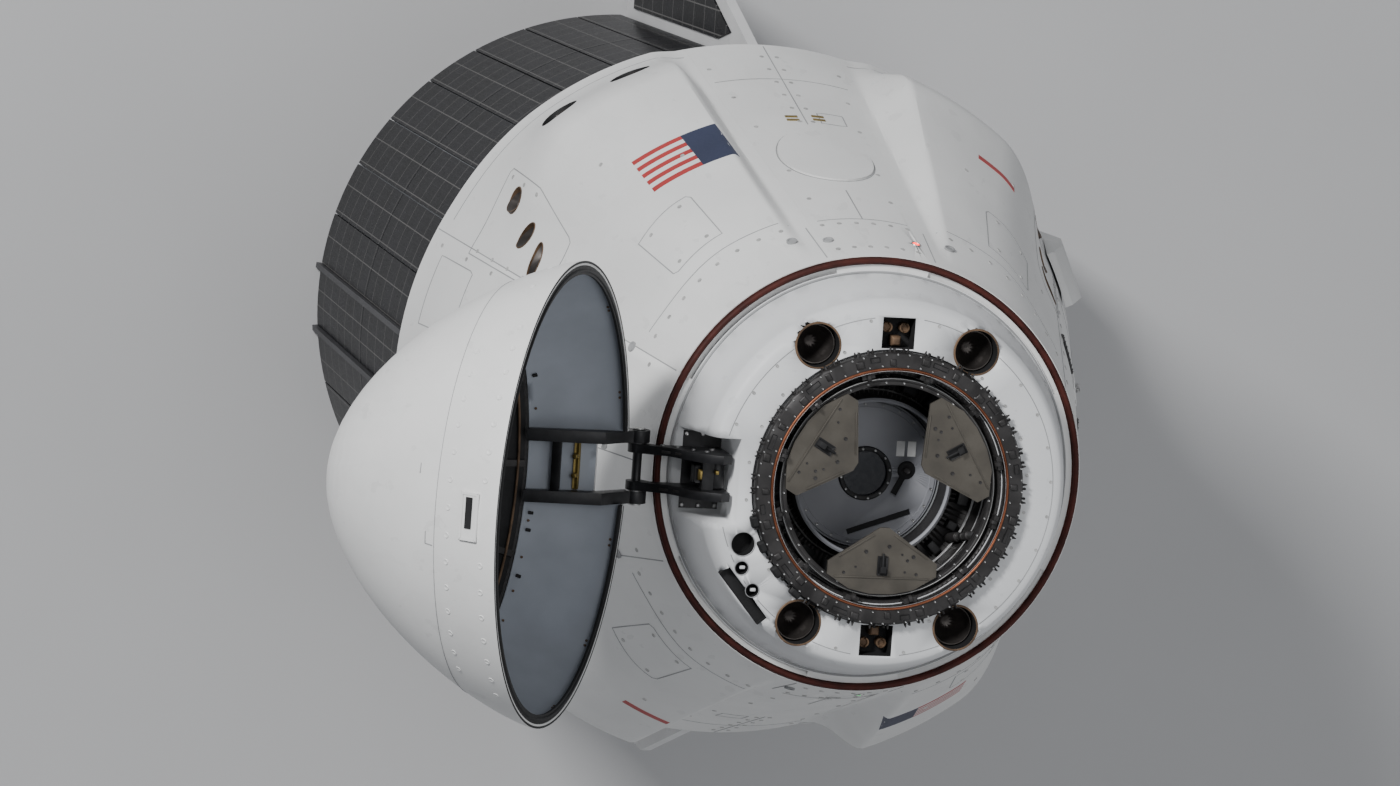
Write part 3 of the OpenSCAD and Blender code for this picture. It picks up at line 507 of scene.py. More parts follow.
class Piece:
    """A mesh being modelled with Blender's own tools."""

    def __init__(self, obj: bpy.types.Object) -> None:
        """Takes up an object.

        Args:
            obj: the mesh object.
        """
        self.obj = obj

    @staticmethod
    def clear() -> None:
        """Deselects every object."""
        bpy.ops.object.select_all(action="DESELECT")

    @classmethod
    def start(cls) -> "Piece":
        """Takes up the primitive that was just added, with its place put in its mesh."""
        bpy.ops.object.transform_apply(location=True, rotation=True, scale=True)
        return cls(bpy.context.view_layer.objects.active)

    @classmethod
    def block(cls, size: Sequence[float], at: Sequence[float] = (0, 0, 0)) -> "Piece":
        """Adds a block.

        Args:
            size: its lengths along X, Y and Z.
            at: its centre.

        Returns:
            The new piece.
        """
        cls.clear()
        bpy.ops.mesh.primitive_cube_add(size=1.0, location=at, scale=size)
        return cls.start()

    @classmethod
    def rod(cls, radius: float, depth: float, at: Sequence[float] = (0, 0, 0),
            along: Sequence[float] = (0, 0, 1),
            sides: int = 32, tip: float | None = None) -> "Piece":
        """Adds a round bar or cone.

        Args:
            radius: its radius.
            depth: its length.
            at: its centre.
            along: its axis.
            sides: its facets.
            tip: the radius at its far end, where that differs.

        Returns:
            The new piece.
        """
        cls.clear()
        turn = Vector(along).to_track_quat("Z", "Y").to_euler()
        bpy.ops.mesh.primitive_cone_add(vertices=sides, radius1=radius,
                                        radius2=radius if tip is None else tip,
                                        depth=depth, location=at, rotation=turn)
        return cls.start()

    @classmethod
    def hoop(cls, radius: float, thick: float, at: Sequence[float] = (0, 0, 0),
             along: Sequence[float] = (0, 0, 1),
             sides: int = 96, around: int = 12) -> "Piece":
        """Adds a round ring.

        Args:
            radius: the radius of its middle line.
            thick: the radius of its section.
            at: its centre.
            along: its axis.
            sides: its facets along the ring.
            around: its facets round the section.

        Returns:
            The new piece.
        """
        cls.clear()
        turn = Vector(along).to_track_quat("Z", "Y").to_euler()
        bpy.ops.mesh.primitive_torus_add(major_radius=radius, minor_radius=thick, major_segments=sides,
                                         minor_segments=around, location=at, rotation=turn)
        return cls.start()

    @classmethod
    def sheet(cls, columns: int, rows: int, shape: Callable[[float, float], Vector]) -> "Piece":
        """Adds a grid and lays it on a surface.

        Args:
            columns: its cells one way.
            rows: its cells the other way.
            shape: gives the point for two numbers from 0 to 1.

        Returns:
            The new piece.
        """
        cls.clear()
        bpy.ops.mesh.primitive_grid_add(x_subdivisions=columns, y_subdivisions=rows, size=1.0)
        piece = cls.start()
        for vertex in piece.obj.data.vertices:
            vertex.co = shape(vertex.co.x + 0.5, vertex.co.y + 0.5)
        return piece

    @classmethod
    def turned(cls, outline: Sequence[tuple[float, float]], sides: int = 128, closed: bool = True) -> "Piece":
        """Spins an outline round the Z axis.

        Args:
            outline: radius and height of each point.
            sides: facets round the axis.
            closed: whether the outline joins up.

        Returns:
            The new piece.
        """
        cls.clear()
        bpy.ops.mesh.primitive_plane_add(size=1.0)
        piece = cls.start()
        mesh = bmesh.new()
        points = [mesh.verts.new((r, 0.0, z)) for r, z in outline]
        for a, b in zip(points, points[1:] + (points[:1] if closed else [])):
            if a is not b:
                mesh.edges.new((a, b))
        mesh.to_mesh(piece.obj.data)
        mesh.free()
        piece.edit(lambda: (bpy.ops.mesh.select_all(action="SELECT"),
                            bpy.ops.mesh.spin(steps=sides, angle=math.tau, center=(0, 0, 0), axis=(0, 0, 1)),
                            bpy.ops.mesh.select_all(action="SELECT"),
                            bpy.ops.mesh.remove_doubles(threshold=1e-5),
                            bpy.ops.mesh.normals_make_consistent(inside=False)))
        return piece

    def wake(self) -> None:
        """Makes this object the only one selected, and active."""
        self.clear()
        self.obj.select_set(True)
        bpy.context.view_layer.objects.active = self.obj

    def edit(self, work: Callable[[], object]) -> "Piece":
        """Runs operators in edit mode.

        Args:
            work: the operators.

        Returns:
            This piece.
        """
        self.wake()
        bpy.ops.object.mode_set(mode="EDIT")
        work()
        bpy.ops.object.mode_set(mode="OBJECT")
        return self

    def faces(self, pick: Pick, work: Callable[[], object]) -> "Piece":
        """Selects faces by their middle and normal, and works on them.

        Args:
            pick: says yes or no for a middle and a normal.
            work: the operators.

        Returns:
            This piece.
        """
        mesh = self.obj.data
        for items in (mesh.vertices, mesh.edges, mesh.polygons):
            items.foreach_set("select", [False] * len(items))
        bpy.context.scene.tool_settings.mesh_select_mode = (False, False, True)
        for face in mesh.polygons:
            face.select = pick(face.center, face.normal)
        return self.edit(work)

    def inset(self, pick: Pick, by: float, depth: float = 0.0) -> "Piece":
        """Insets the picked faces, then sinks them (a negative depth) or raises them.

        Args:
            pick: says which faces.
            by: width of the border.
            depth: how far they then move along their normal.

        Returns:
            This piece.
        """
        return self.faces(pick, lambda: bpy.ops.mesh.inset(thickness=by, depth=depth, use_even_offset=True))

    def bevel(self, width: float, segments: int = 2, angle: float = 30.0) -> "Piece":
        """Rounds the sharp edges.

        Args:
            width: how far the rounding reaches.
            segments: its steps.
            angle: the least angle between faces that counts as sharp, in degrees.

        Returns:
            This piece.
        """
        return self.modify("BEVEL", width=width, segments=segments, limit_method="ANGLE",
                           angle_limit=math.radians(angle))

    def modify(self, kind: str, **values: object) -> "Piece":
        """Adds a modifier and applies it.

        Args:
            kind: its type.
            **values: its settings.

        Returns:
            This piece.
        """
        self.wake()
        modifier = self.obj.modifiers.new(kind.lower(), kind)
        for key, value in values.items():
            setattr(modifier, key, value)
        bpy.ops.object.modifier_apply(modifier=modifier.name)
        return self

    def cut(self, tool: "Piece") -> "Piece":
        """Takes another piece's shape away, and deletes that piece.

        Args:
            tool: the other piece.

        Returns:
            This piece.
        """
        self.modify("BOOLEAN", operation="DIFFERENCE", solver="EXACT", object=tool.obj)
        bpy.data.objects.remove(tool.obj)
        return self

    def closed(self) -> "Piece":
        """Fills every open loop of edges and turns the faces outward.

        Returns:
            This piece.
        """
        self.edit(lambda: (bpy.ops.mesh.select_all(action="SELECT"), bpy.ops.mesh.fill_holes(sides=0)))
        return self.outward()

    def welded(self) -> "Piece":
        """Merges points that lie in one place."""
        return self.edit(lambda: (bpy.ops.mesh.select_all(action="SELECT"),
                                  bpy.ops.mesh.remove_doubles(threshold=1e-5)))

    def outward(self) -> "Piece":
        """Turns every face outward."""
        return self.edit(lambda: (bpy.ops.mesh.select_all(action="SELECT"),
                                  bpy.ops.mesh.normals_make_consistent(inside=False)))

    def without(self, pick: Pick) -> "Piece":
        """Deletes the faces that a pick takes."""
        return self.faces(pick, lambda: bpy.ops.mesh.delete(type="FACE"))

    def moved(self, matrix: Matrix) -> "Piece":
        """Moves the mesh.

        Args:
            matrix: the move.

        Returns:
            This piece.
        """
        self.obj.data.transform(matrix)
        if matrix.to_3x3().determinant() < 0:
            self.edit(lambda: (bpy.ops.mesh.select_all(action="SELECT"), bpy.ops.mesh.flip_normals()))
        return self

    def copy(self, matrix: Matrix = Matrix.Identity(4)) -> "Piece":
        """Copies the piece with its own mesh.

        Args:
            matrix: where the copy goes.

        Returns:
            The copy.
        """
        obj = self.obj.copy()
        obj.data = self.obj.data.copy()
        bpy.context.scene.collection.objects.link(obj)
        return Piece(obj).moved(matrix)

    def array(self, places: Iterable[Matrix]) -> "Piece":
        """Copies the piece to each place, joins the copies and deletes the original.

        Args:
            places: where the copies go.

        Returns:
            The joined copies.
        """
        copies = [self.copy(place) for place in places]
        bpy.data.objects.remove(self.obj)
        return Piece.joined(copies)

    @classmethod
    def joined(cls, pieces: Sequence["Piece"]) -> "Piece":
        """Joins pieces into one.

        Args:
            pieces: the pieces.

        Returns:
            The joined piece.
        """
        cls.clear()
        for piece in pieces:
            piece.obj.select_set(True)
        bpy.context.view_layer.objects.active = pieces[0].obj
        if len(pieces) > 1:
            bpy.ops.object.join()
        return pieces[0]

    def smooth(self, angle: float = 35.0) -> "Piece":
        """Shades smooth, with edges sharper than the angle left crisp."""
        self.wake()
        bpy.ops.object.shade_smooth_by_angle(angle=math.radians(angle))
        return self

    def done(self, name: str, body: Body, slot: str, finish: str | None = None,
             stands_for: Sequence[str] = (),
             angle: float = 35.0) -> bpy.types.Object:
        """Names, shades and dresses the finished piece, and hangs it on its body.

        Args:
            name: the piece's name.
            body: the body that it moves with.
            slot: the record's material slot.
            finish: the finish, where it isn't the slot's own.
            stands_for: the CAD nodes that it replaces.
            angle: the smooth shading's angle.

        Returns:
            The object.
        """
        self.smooth(angle)
        self.obj.name = self.obj.data.name = name
        self.obj.data.materials.clear()
        self.obj.data.materials.append(Palette.get(finish or slot))
        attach(self.obj, body.value)
        if stands_for:
            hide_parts(*stands_for)
        log.info("%s: %d faces on %s", name, len(self.obj.data.polygons), body.value)
        return self.obj


# ---------------------------------------------------------------- shared shapes

# faces that look up, to the front, and to either side
TOPS: Pick = lambda c, n: n.z > 0.9
FRONTS: Pick = lambda c, n: n.x > 0.9
ENDS: Pick = lambda c, n: abs(n.y) > 0.9
Port = tuple[float, float, float, float, float]
# side thruster ports of one pod: angle, height, half length, half width, and turn of the long axis
PORTS: tuple[Port, ...] = (
    (36.4, 0.700, 0.076, 0.066, 0), (32.5, 0.960, 0.092, 0.052, 29), (29.4, 1.180, 0.118, 0.052, -23))


@dataclass(frozen=True)
class HullShape:
    """The capsule's side wall with its four pod fairings, in metres and degrees."""

    base_z: float
    base_r: float
    wall_h: float
    top_r: float = 1.135
    wall_t: float = 0.08
    pod_start: float = 25.5
    pod_end: float = 77.0
    pod_rise: float = 0.25
    pod_peak: float = 0.9

    def wall(self, h: float) -> float:
        """Radius of the plain wall at a height over the base edge."""
        return self.base_r - (self.base_r - self.top_r) * h / self.wall_h

    @staticmethod
    def ease(t: float) -> float:
        """Smooth step from 0 to 1."""
        t = min(1.0, max(0.0, t))
        return t * t * (3 - 2 * t)

    def lift(self, angle: float, h: float) -> float:
        """How far a pod stands out of the wall.

        Args:
            angle: angle round the axis, from +X.
            h: height over the base edge.

        Returns:
            The rise in metres.
        """
        u = 90 - abs(angle % 180 - 90)
        k = h / self.wall_h
        if h < self.pod_peak:
            along = 0.10 + 0.90 * self.ease(h / self.pod_peak)
        else:
            along = max(0.0, 1 - (h - self.pod_peak) / (self.wall_h * 0.965 - self.pod_peak))
        soft = self.ease((u - (self.pod_start + 1 + 8 * k)) / 24)
        steep = self.ease((self.pod_end - 1 - 3 * k - u) / (5 - 1.5 * k))
        return self.pod_rise * along * soft * steep

    def point(self, angle: float, h: float, out: float = 0.0) -> Vector:
        """A point on the skin.

        Args:
            angle: angle round the axis.
            h: height over the base edge.
            out: how far it stands out of the skin.

        Returns:
            The point.
        """
        r, turn = self.wall(h) + self.lift(angle, h), math.radians(angle)
        place = Vector((r * math.cos(turn), r * math.sin(turn), self.base_z + h))
        return place + self.normal(angle, h) * out if out else place

    def normal(self, angle: float, h: float) -> Vector:
        """The skin's outward direction at a point."""
        along = self.point(angle + 0.2, h) - self.point(angle - 0.2, h)
        up = self.point(angle, h + 0.005) - self.point(angle, h - 0.005)
        return along.cross(up).normalized()

    def seat(self, angle: float, h: float, out: float = 0.0) -> Matrix:
        """A frame on the skin: Z out of it, X round the capsule.

        Args:
            angle: angle round the axis.
            h: height over the base edge.
            out: how far it stands out of the skin.

        Returns:
            The frame.
        """
        z = self.normal(angle, h)
        y = (Vector((0, 0, 1)) - z * z.z).normalized()
        turn = Matrix((y.cross(z), y, z)).transposed().to_4x4()
        return Matrix.Translation(self.point(angle, h, out)) @ turn

    def port_axis(self, angle: float, h: float, long: float, wide: float, turn: float) -> Matrix:
        """The frame of a side thruster's port.

        Args:
            angle: degrees about Z.
            h: height over the base.
            long: half length, along the frame's Y; not used.
            wide: half width, along the frame's X; not used.
            turn: degrees the long axis leans.

        Returns:
            The frame, with Z out of the wall.
        """
        slope = math.atan2(self.base_r - self.top_r, self.wall_h)
        return (spun("Z", angle)
                @ shift(self.wall(h) + self.lift(angle, h), 0, self.base_z + h)
                @ Matrix.Rotation(math.pi / 2 - slope, 4, "Y") @ spun("Z", turn))


@dataclass(frozen=True)
class ConeShape:
    """The nose cone's shape, closed on its seal, and the turn that opens it."""

    rim_z: float
    hinge: Vector
    open_deg: float
    rim_r: float = 1.15
    height: float = 1.2
    wall: float = 0.022

    def outer(self, depth: float) -> float:
        """Radius of the outer face at a depth over the rim."""
        return self.rim_r * max(0.0, 1 - (depth / self.height) ** 1.3) ** 0.556

    def inner(self, depth: float) -> float:
        """Radius of the inner face at a depth over the rim."""
        return self.outer(min(self.height, depth * self.height / (self.height - self.wall))) - self.wall

    def opened(self) -> Matrix:
        """The turn from closed to open."""
        return (Matrix.Translation(self.hinge) @ Matrix.Rotation(-math.radians(self.open_deg), 4, "Y")
                @ Matrix.Translation(-self.hinge))

    def seat(self, angle: float, depth: float, inside: bool = False, out: float = 0.0) -> Matrix:
        """A frame on the closed cone: Z off its face, X round the cone.

        Args:
            angle: angle round the axis, from +X.
            depth: height over the rim.
            inside: whether it is on the inner face.
            out: how far it stands off the face.

        Returns:
            The frame.
        """
        face = self.inner if inside else self.outer
        turn = math.radians(angle)
        slope = math.atan2(face(depth - 0.01) - face(depth + 0.01), 0.02)
        z = Vector((math.cos(turn) * math.cos(slope), math.sin(turn) * math.cos(slope), math.sin(slope)))
        if inside:
            z = -z
        x = Vector((-math.sin(turn), math.cos(turn), 0)) * (-1 if inside else 1)
        place = Vector((face(depth) * math.cos(turn), face(depth) * math.sin(turn), self.rim_z + depth))
        return Matrix.Translation(place + z * out) @ Matrix((x, z.cross(x), z)).transposed().to_4x4()


def ring_places(count: int, start: float = 0.0) -> list[Matrix]:
    """Turns round the Z axis.

    Args:
        count: how many.
        start: the first one's angle in degrees.

    Returns:
        The turns.
    """
    return [spun("Z", start + k * 360 / count) for k in range(count)]


def spun(axis: str, degrees: float) -> Matrix:
    """A turn about an axis.

    Args:
        axis: X, Y or Z.
        degrees: how far.

    Returns:
        The turn.
    """
    return Matrix.Rotation(math.radians(degrees), 4, axis)


def shift(x: float, y: float, z: float) -> Matrix:
    """A plain move."""
    return Matrix.Translation((x, y, z))


MIRRORS = (Matrix.Identity(4), Matrix.Diagonal((-1, 1, 1, 1)), Matrix.Diagonal((1, -1, 1, 1)),
           Matrix.Diagonal((-1, -1, 1, 1)))


def bolt(radius: float = 0.011, rise: float = 0.006) -> Piece:
    """A low domed bolt head standing at the origin.

    Args:
        radius: its radius.
        rise: its height.

    Returns:
        The piece.
    """
    head = Piece.rod(radius, rise, (0, 0, rise / 2), sides=10)
    head.inset(TOPS, radius * 0.3, 0.0)
    return head.faces(lambda c, n: n.z > 0.9 and abs(c.x) < radius * 0.2 and abs(c.y) < radius * 0.2,
                      lambda: bpy.ops.transform.translate(value=(0, 0, -rise * 0.35)))


# ---------------------------------------------------------------- sub-assemblies


@dataclass
class SmoothNodes:
    """Revolved and curved CAD nodes whose shape is right: merged, smoothly shaded copies stand for them."""

    nodes: dict[str, tuple[Body, str]] = field(default_factory=lambda: {
        "hinge_side_panel": (Body.CAPSULE, "wall_white"), "hatch_side_panel": (Body.CAPSULE, "wall_white"),
        "port_panel": (Body.CAPSULE, "wall_white"), "starboard_panel": (Body.CAPSULE, "wall_white"),
        "forward_deck": (Body.CAPSULE, "deck_white"), "seal_ring": (Body.CAPSULE, "seal_red"),
        "docking_ring": (Body.CAPSULE, "adapter_dark"), "docking_tunnel": (Body.CAPSULE, "adapter_dark"),
        "nose_cone_shell": (Body.NOSE, "wall_white"), "nose_cone_liner": (Body.NOSE, "liner_grey"),
        "side_hatch": (Body.DOOR, "wall_white"), "tunnel_hatch": (Body.TUNNEL, "hatch_grey"),
        "heat_shield": (Body.CAPSULE, "heat_shield_black"), "trunk_solar_half": (Body.CAPSULE, "trunk_grey"),
        "trunk_radiator_half": (Body.CAPSULE, "radiator_white"),
        "umbilical_fairing": (Body.CAPSULE, "wall_white"),
        "forward_thruster_nozzles": (Body.CAPSULE, "nozzle_metal"),
        "side_thruster_nozzles": (Body.CAPSULE, "nozzle_metal"),
        "abort_engine_nozzles": (Body.CAPSULE, "nozzle_metal"),
        "nose_hinge_arms": (Body.NOSE, "hinge_black"), "nose_hinge_bracket": (Body.CAPSULE, "hinge_black"),
    })
    angle: float = 32.0
    edge: float = 0.004
    rounded: tuple[str, ...] = ("nose_hinge_arms", "nose_hinge_bracket", "umbilical_fairing")

    def build(self, cad: dict[str, bpy.types.Object]) -> None:
        """Copies, merges and shades each node.

        Args:
            cad: the CAD nodes by name.
        """
        for name, (body, slot) in self.nodes.items():
            source = cad[name]
            copied = bpy.data.objects.new(name + "_skin", source.data.copy())
            bpy.context.scene.collection.objects.link(copied)
            piece = Piece(copied).edit(lambda: (bpy.ops.mesh.select_all(action="SELECT"),
                                                bpy.ops.mesh.remove_doubles(threshold=1e-4)))
            if name in self.rounded:
                piece.edit(lambda: (bpy.ops.mesh.select_all(action="SELECT"),
                                    bpy.ops.mesh.dissolve_limited(angle_limit=math.radians(1.0))))
                piece.bevel(self.edge, 2, 40)
            piece.done(name + "_skin", body, slot, stands_for=(name,), angle=self.angle)


@dataclass
class PodFairings:
    """The four pod fairings, drawn finely, with their thruster and engine bores."""

    hull: HullShape
    columns: int = 112
    rows: int = 96
    ports: tuple[Port, ...] = PORTS
    port_depth: float = 0.062
    engine_angles: tuple[float, ...] = (52.0, 65.0)
    engine_h: float = 0.48
    engine_r: float = 0.118
    engine_cant: float = 30.0
    names: tuple[str, ...] = ("pod_port_hatch_side", "pod_port_hinge_side", "pod_starboard_hatch_side",
                              "pod_starboard_hinge_side")

    def engine_axis(self, angle: float) -> Matrix:
        """The frame of an abort engine's bore."""
        r = self.hull.wall(self.engine_h) + self.hull.lift(angle, self.engine_h) - 0.06
        return (spun("Z", angle) @ shift(r, 0, self.hull.base_z + self.engine_h)
                @ spun("Y", 90 + self.engine_cant))

    def build(self) -> None:
        """Builds one pod and mirrors it to the other three places."""
        hull = self.hull
        span = hull.pod_end - hull.pod_start

        def shape(s: float, t: float) -> Vector:
            """A point of the pod's outer face."""
            return hull.point(hull.pod_start + span * s, hull.wall_h * (0.75 * t + 0.25 * t * t))

        def wide(s: float, t: float) -> Vector:
            """A point of the outer face, run on past the pod's sides."""
            return hull.point(hull.pod_start - 12 + (span + 24) * s, hull.wall_h * t)

        outer = Piece.sheet(self.columns, self.rows, shape)
        skin = Piece.sheet(self.columns, self.rows, wide)
        pod = outer.modify("SOLIDIFY", thickness=hull.wall_t, offset=-1.0)
        for axis in self.bores():
            pod.cut(axis)
        skin_tree = self.tree(skin)
        rims = [self.rim(skin_tree, hull.port_axis(*p), p[3], p[2], self.port_depth - 0.004)
                for p in self.ports]
        # near-black collars deep inside the engine bores: painted shade
        wells = [self.rim(skin_tree, self.engine_axis(a), self.engine_r, self.engine_r, 0.34)
                 for a in self.engine_angles]
        bpy.data.objects.remove(skin.obj)
        collars, shade_liners = Piece.joined(rims), Piece.joined(wells)
        for name, mirror in zip(self.names, MIRRORS):
            pod.copy(mirror).done(name + "_fairing", Body.CAPSULE, "wall_white", stands_for=(name,), angle=28)
        collars.array(MIRRORS).done("thruster_port_rims", Body.CAPSULE, "nozzle_metal", "scorched")
        shade_liners.array(MIRRORS).done("engine_bore_shade_liners", Body.CAPSULE, "nozzle_metal", "black_parts_and_painted_hole_shade")
        bpy.data.objects.remove(pod.obj)

    def bores(self) -> list[Piece]:
        """The shapes of the bores."""
        tools = [Piece.rod(1.0, 0.40, (0, 0, 0.20 - self.port_depth), sides=48).moved(
            self.hull.port_axis(*p) @ Matrix.Diagonal((p[3], p[2], 1, 1))) for p in self.ports]
        return tools + [Piece.rod(self.engine_r, 0.61, (0, 0, 0.195), sides=56).moved(self.engine_axis(a))
                        for a in self.engine_angles]

    @staticmethod
    def tree(skin: Piece) -> BVHTree:
        """A ray-casting tree of a piece's mesh."""
        mesh = skin.obj.data
        return BVHTree.FromPolygons([v.co.copy() for v in mesh.vertices],
                                    [list(p.vertices) for p in mesh.polygons])

    def rim(self, tree: BVHTree, axis: Matrix, across: float, along: float, depth: float) -> Piece:
        """A thin collar that lines a bore's mouth along the skin.

        Args:
            tree: the skin to lie on.
            axis: the bore's frame.
            across: the bore's half width along its X.
            along: the bore's half width along its Y.
            depth: how far it runs into the bore.

        Returns:
            The collar.
        """
        inward = -(axis.to_3x3() @ Vector((0, 0, 1)))
        mouths: list[float] = []
        steps = 48
        for k in range(steps):
            turn = math.tau * k / steps
            start = axis @ Vector((across * math.cos(turn), along * math.sin(turn), 0.6))
            hit = tree.ray_cast(start, inward)
            mouths.append(0.6 - hit[3] if hit[0] is not None else 0.0)

        def shape(s: float, t: float) -> Vector:
            """A point of the collar: t runs down into the bore."""
            turn = math.tau * s
            k = s * steps
            low, part = int(k) % steps, k - int(k)
            mouth = mouths[low] * (1 - part) + mouths[(low + 1) % steps] * part
            return axis @ Vector(((across - 0.0015) * math.cos(turn), (along - 0.0015) * math.sin(turn),
                                  mouth + 0.003 - t * (depth + mouth)))

        collar = Piece.sheet(steps, 2, shape)
        collar.welded().outward()
        return collar.modify("SOLIDIFY", thickness=0.005, offset=-1.0)


@dataclass
class WallTrim:
    """Seams, fasteners, stripes and small fittings on the side wall."""

    hull: HullShape
    seam_w: float = 0.006
    seam_rise: float = 0.0014

    def ribbon(self, points: Sequence[tuple[float, float]], width: float, rise: float,
               steps: int = 0) -> Piece:
        """A thin strip along a line on the skin.

        Args:
            points: angle and height of its corners.
            width: its width.
            rise: how far it stands out.
            steps: cells along it, or 0 to choose.

        Returns:
            The strip.
        """
        hull = self.hull
        lengths = [(hull.point(*b) - hull.point(*a)).length for a, b in zip(points, points[1:])]
        total = sum(lengths)
        steps = steps or max(2, int(total / 0.05))

        def along(s: float) -> tuple[float, float]:
            """Angle and height at a share of the length."""
            run = s * total
            for (a, b), size in zip(zip(points, points[1:]), lengths):
                if run <= size or (a, b) == (points[-2], points[-1]):
                    k = min(1.0, run / size)
                    return a[0] + (b[0] - a[0]) * k, a[1] + (b[1] - a[1]) * k
                run -= size
            return points[-1]

        def shape(s: float, t: float) -> Vector:
            """A point of the strip."""
            here, near, far = along(s), along(max(0, s - 0.01)), along(min(1, s + 0.01))
            ahead = (hull.point(*far) - hull.point(*near)).normalized()
            side = ahead.cross(hull.normal(*here))
            return hull.point(*here, rise) + side * (0.5 - t) * width

        strip = Piece.sheet(steps, 1, shape)
        return strip.modify("SOLIDIFY", thickness=rise + 0.002, offset=-1.0)

    def seams(self) -> None:
        """Draws the panel seams."""
        lines: list[list[tuple[float, float]]] = []
        start, end, top = self.hull.pod_start, self.hull.pod_end, self.hull.wall_h - 0.04
        for base in (0, 180):
            for side in (-1, 1):
                edge = base + side * start
                lines.append([(edge, 0.02), (edge, top)])
                lines.append([(base + side * (end + 2), 2.60), (base + side * 90, 2.60)])
                lines.append([(base + side * 75.5, 2.66), (base + side * 75.5, top)])
                a, b = base + side * 24.5, base + side * 40.5
                lines.append([(a, 0.47), (b, 0.47), (b, 0.95), (base + side * 36.5, 1.43), (a, 1.43),
                              (a, 0.47)])
                lines.append([(base + side * 44, 2.05), (base + side * 58, 2.05), (base + side * 58, 2.5),
                              (base + side * 44, 2.5), (base + side * 44, 2.05)])
                lines.append([(base + side * 30, 2.62), (base + side * 72, 2.62)])
                lines.append([(base + side * 28, 0.12), (base + side * 76, 0.12)])
                lines.append([(base + side * 10, 0.2), (base + side * 10, 0.62), (base + side * 22, 0.62),
                              (base + side * 22, 0.2), (base + side * 10, 0.2)])
        for a in (90, 270):
            lines.append([(a, 0.03), (a, 1.24)])
            lines.append([(a, 2.2), (a, 2.6)])
            lines.append([(a - 8, 1.05), (a - 8, 1.21), (a - 3, 1.21), (a - 3, 1.05), (a - 8, 1.05)])
            lines.append([(a - 12, 0.55), (a + 12, 0.55)])
        lines.append([(180, 0.03), (180, 2.9)])
        lines.append([(160, 0.95), (200, 0.95)])
        lines.append([(160, 2.2), (200, 2.2)])
        oval = [(90 + math.degrees(0.262 * math.cos(t) / self.hull.wall(1.7 + 0.375 * math.sin(t))),
                 1.7 + 0.372 * math.sin(t)) for t in [math.tau * k / 40 for k in range(41)]]
        lines.append(oval)
        strips = [self.ribbon(line, self.seam_w, self.seam_rise) for line in lines]
        Piece.joined(strips).done("panel_seams", Body.CAPSULE, "wall_white", "seam_grey", angle=60)

    def fasteners(self) -> None:
        """Sets rows of flush fasteners along the seams."""
        spots: list[tuple[float, float]] = []
        for base in (0, 180):
            for side in (-1, 1):
                for k in range(9):
                    spots.append((base + side * 23.4, 0.15 + 0.33 * k))
                for k in range(8):
                    spots.append((base + side * (30 + k * 5.6), 2.7))
                for h in (0.55, 0.75, 0.95, 1.15, 1.35):
                    spots.append((base + side * 25.6, h))
                for h in (0.55, 0.75, 0.93):
                    spots.append((base + side * 39.3, h))
                for u, h in ((78.6, 0.35), (79.4, 0.8), (79.8, 1.25), (80.4, 1.9), (80.6, 2.3)):
                    spots.append((base + side * u, h))
                for u, h in ((47, 2.1), (55, 2.1), (47, 2.45), (55, 2.45), (62, 1.7), (50, 1.35), (35, 1.85)):
                    spots.append((base + side * u, h))
        for a in (90, 270):
            for k in range(6):
                spots += [(a - 10.5 + k * 4.2, 2.66), (a - 10.5 + k * 4.2, 2.98)]
            spots += [(a - 1.3, 0.2 + 0.2 * k) for k in range(6)] + [(a + 1.3, 0.2 + 0.2 * k)
                                                                     for k in range(6)]
        places = [self.hull.seat(a, h, 0.0) for a, h in spots
                  if not (abs((a + 90) % 180 - 90) < 17 and 1 < h < 2)]
        bolt(0.0125, 0.0035).array(places).done("wall_fasteners", Body.CAPSULE, "wall_white", "fastener_grey")

    def patch(self, name: str, centre: float, h: float, size: tuple[float, float], parts: Sequence[tuple[
            str, float, float, float, float]]) -> None:
        """Lays a plain striped patch on the skin.

        Args:
            name: the patch's name.
            centre: its middle's angle.
            h: its middle's height.
            size: its width and height.
            parts: finish, then left, right, low and high edge of each field as shares of the size.
        """
        hull = self.hull
        by_finish: dict[str, list[Piece]] = {}
        for finish, left, right, low, high in parts:
            def shape(s: float, t: float) -> Vector:
                """A point of one field."""
                across = (left + (right - left) * s - 0.5) * size[0]
                height = h + (low + (high - low) * t - 0.5) * size[1]
                r = hull.wall(height) + hull.lift(centre, height)
                return hull.point(centre + math.degrees(across / r), height, 0.0016)

            field_piece = Piece.sheet(max(2, int((right - left) * size[0] / 0.02)), 3, shape)
            by_finish.setdefault(finish, []).append(field_piece.modify("SOLIDIFY", thickness=0.0035,
                                                                       offset=-1.0))
        for finish, pieces in by_finish.items():
            Piece.joined(pieces).done(f"{name}_{finish}", Body.CAPSULE, "wall_white", finish, angle=60)

    def patches(self) -> None:
        """Lays the striped patches and the plain red bars."""
        block = [("stripe_red" if k % 2 == 0 else "stripe_white", 0.4, 1.0, k / 9, (k + 1) / 9)
                 for k in range(9)]
        block.append(("patch_blue", 0.0, 0.4, 0.0, 1.0))
        self.patch("port_patch", 117.7, 1.69, (0.50, 0.34), block)
        self.patch("starboard_patch", 297.7, 1.69, (0.50, 0.34), block)
        bar = [("stripe_red", 0.0, 1.0, 0.0, 1.0)]
        self.patch("port_bar", 54.2, 1.40, (0.28, 0.05), bar)
        self.patch("starboard_bar", 245.3, 1.50, (0.28, 0.05), bar)

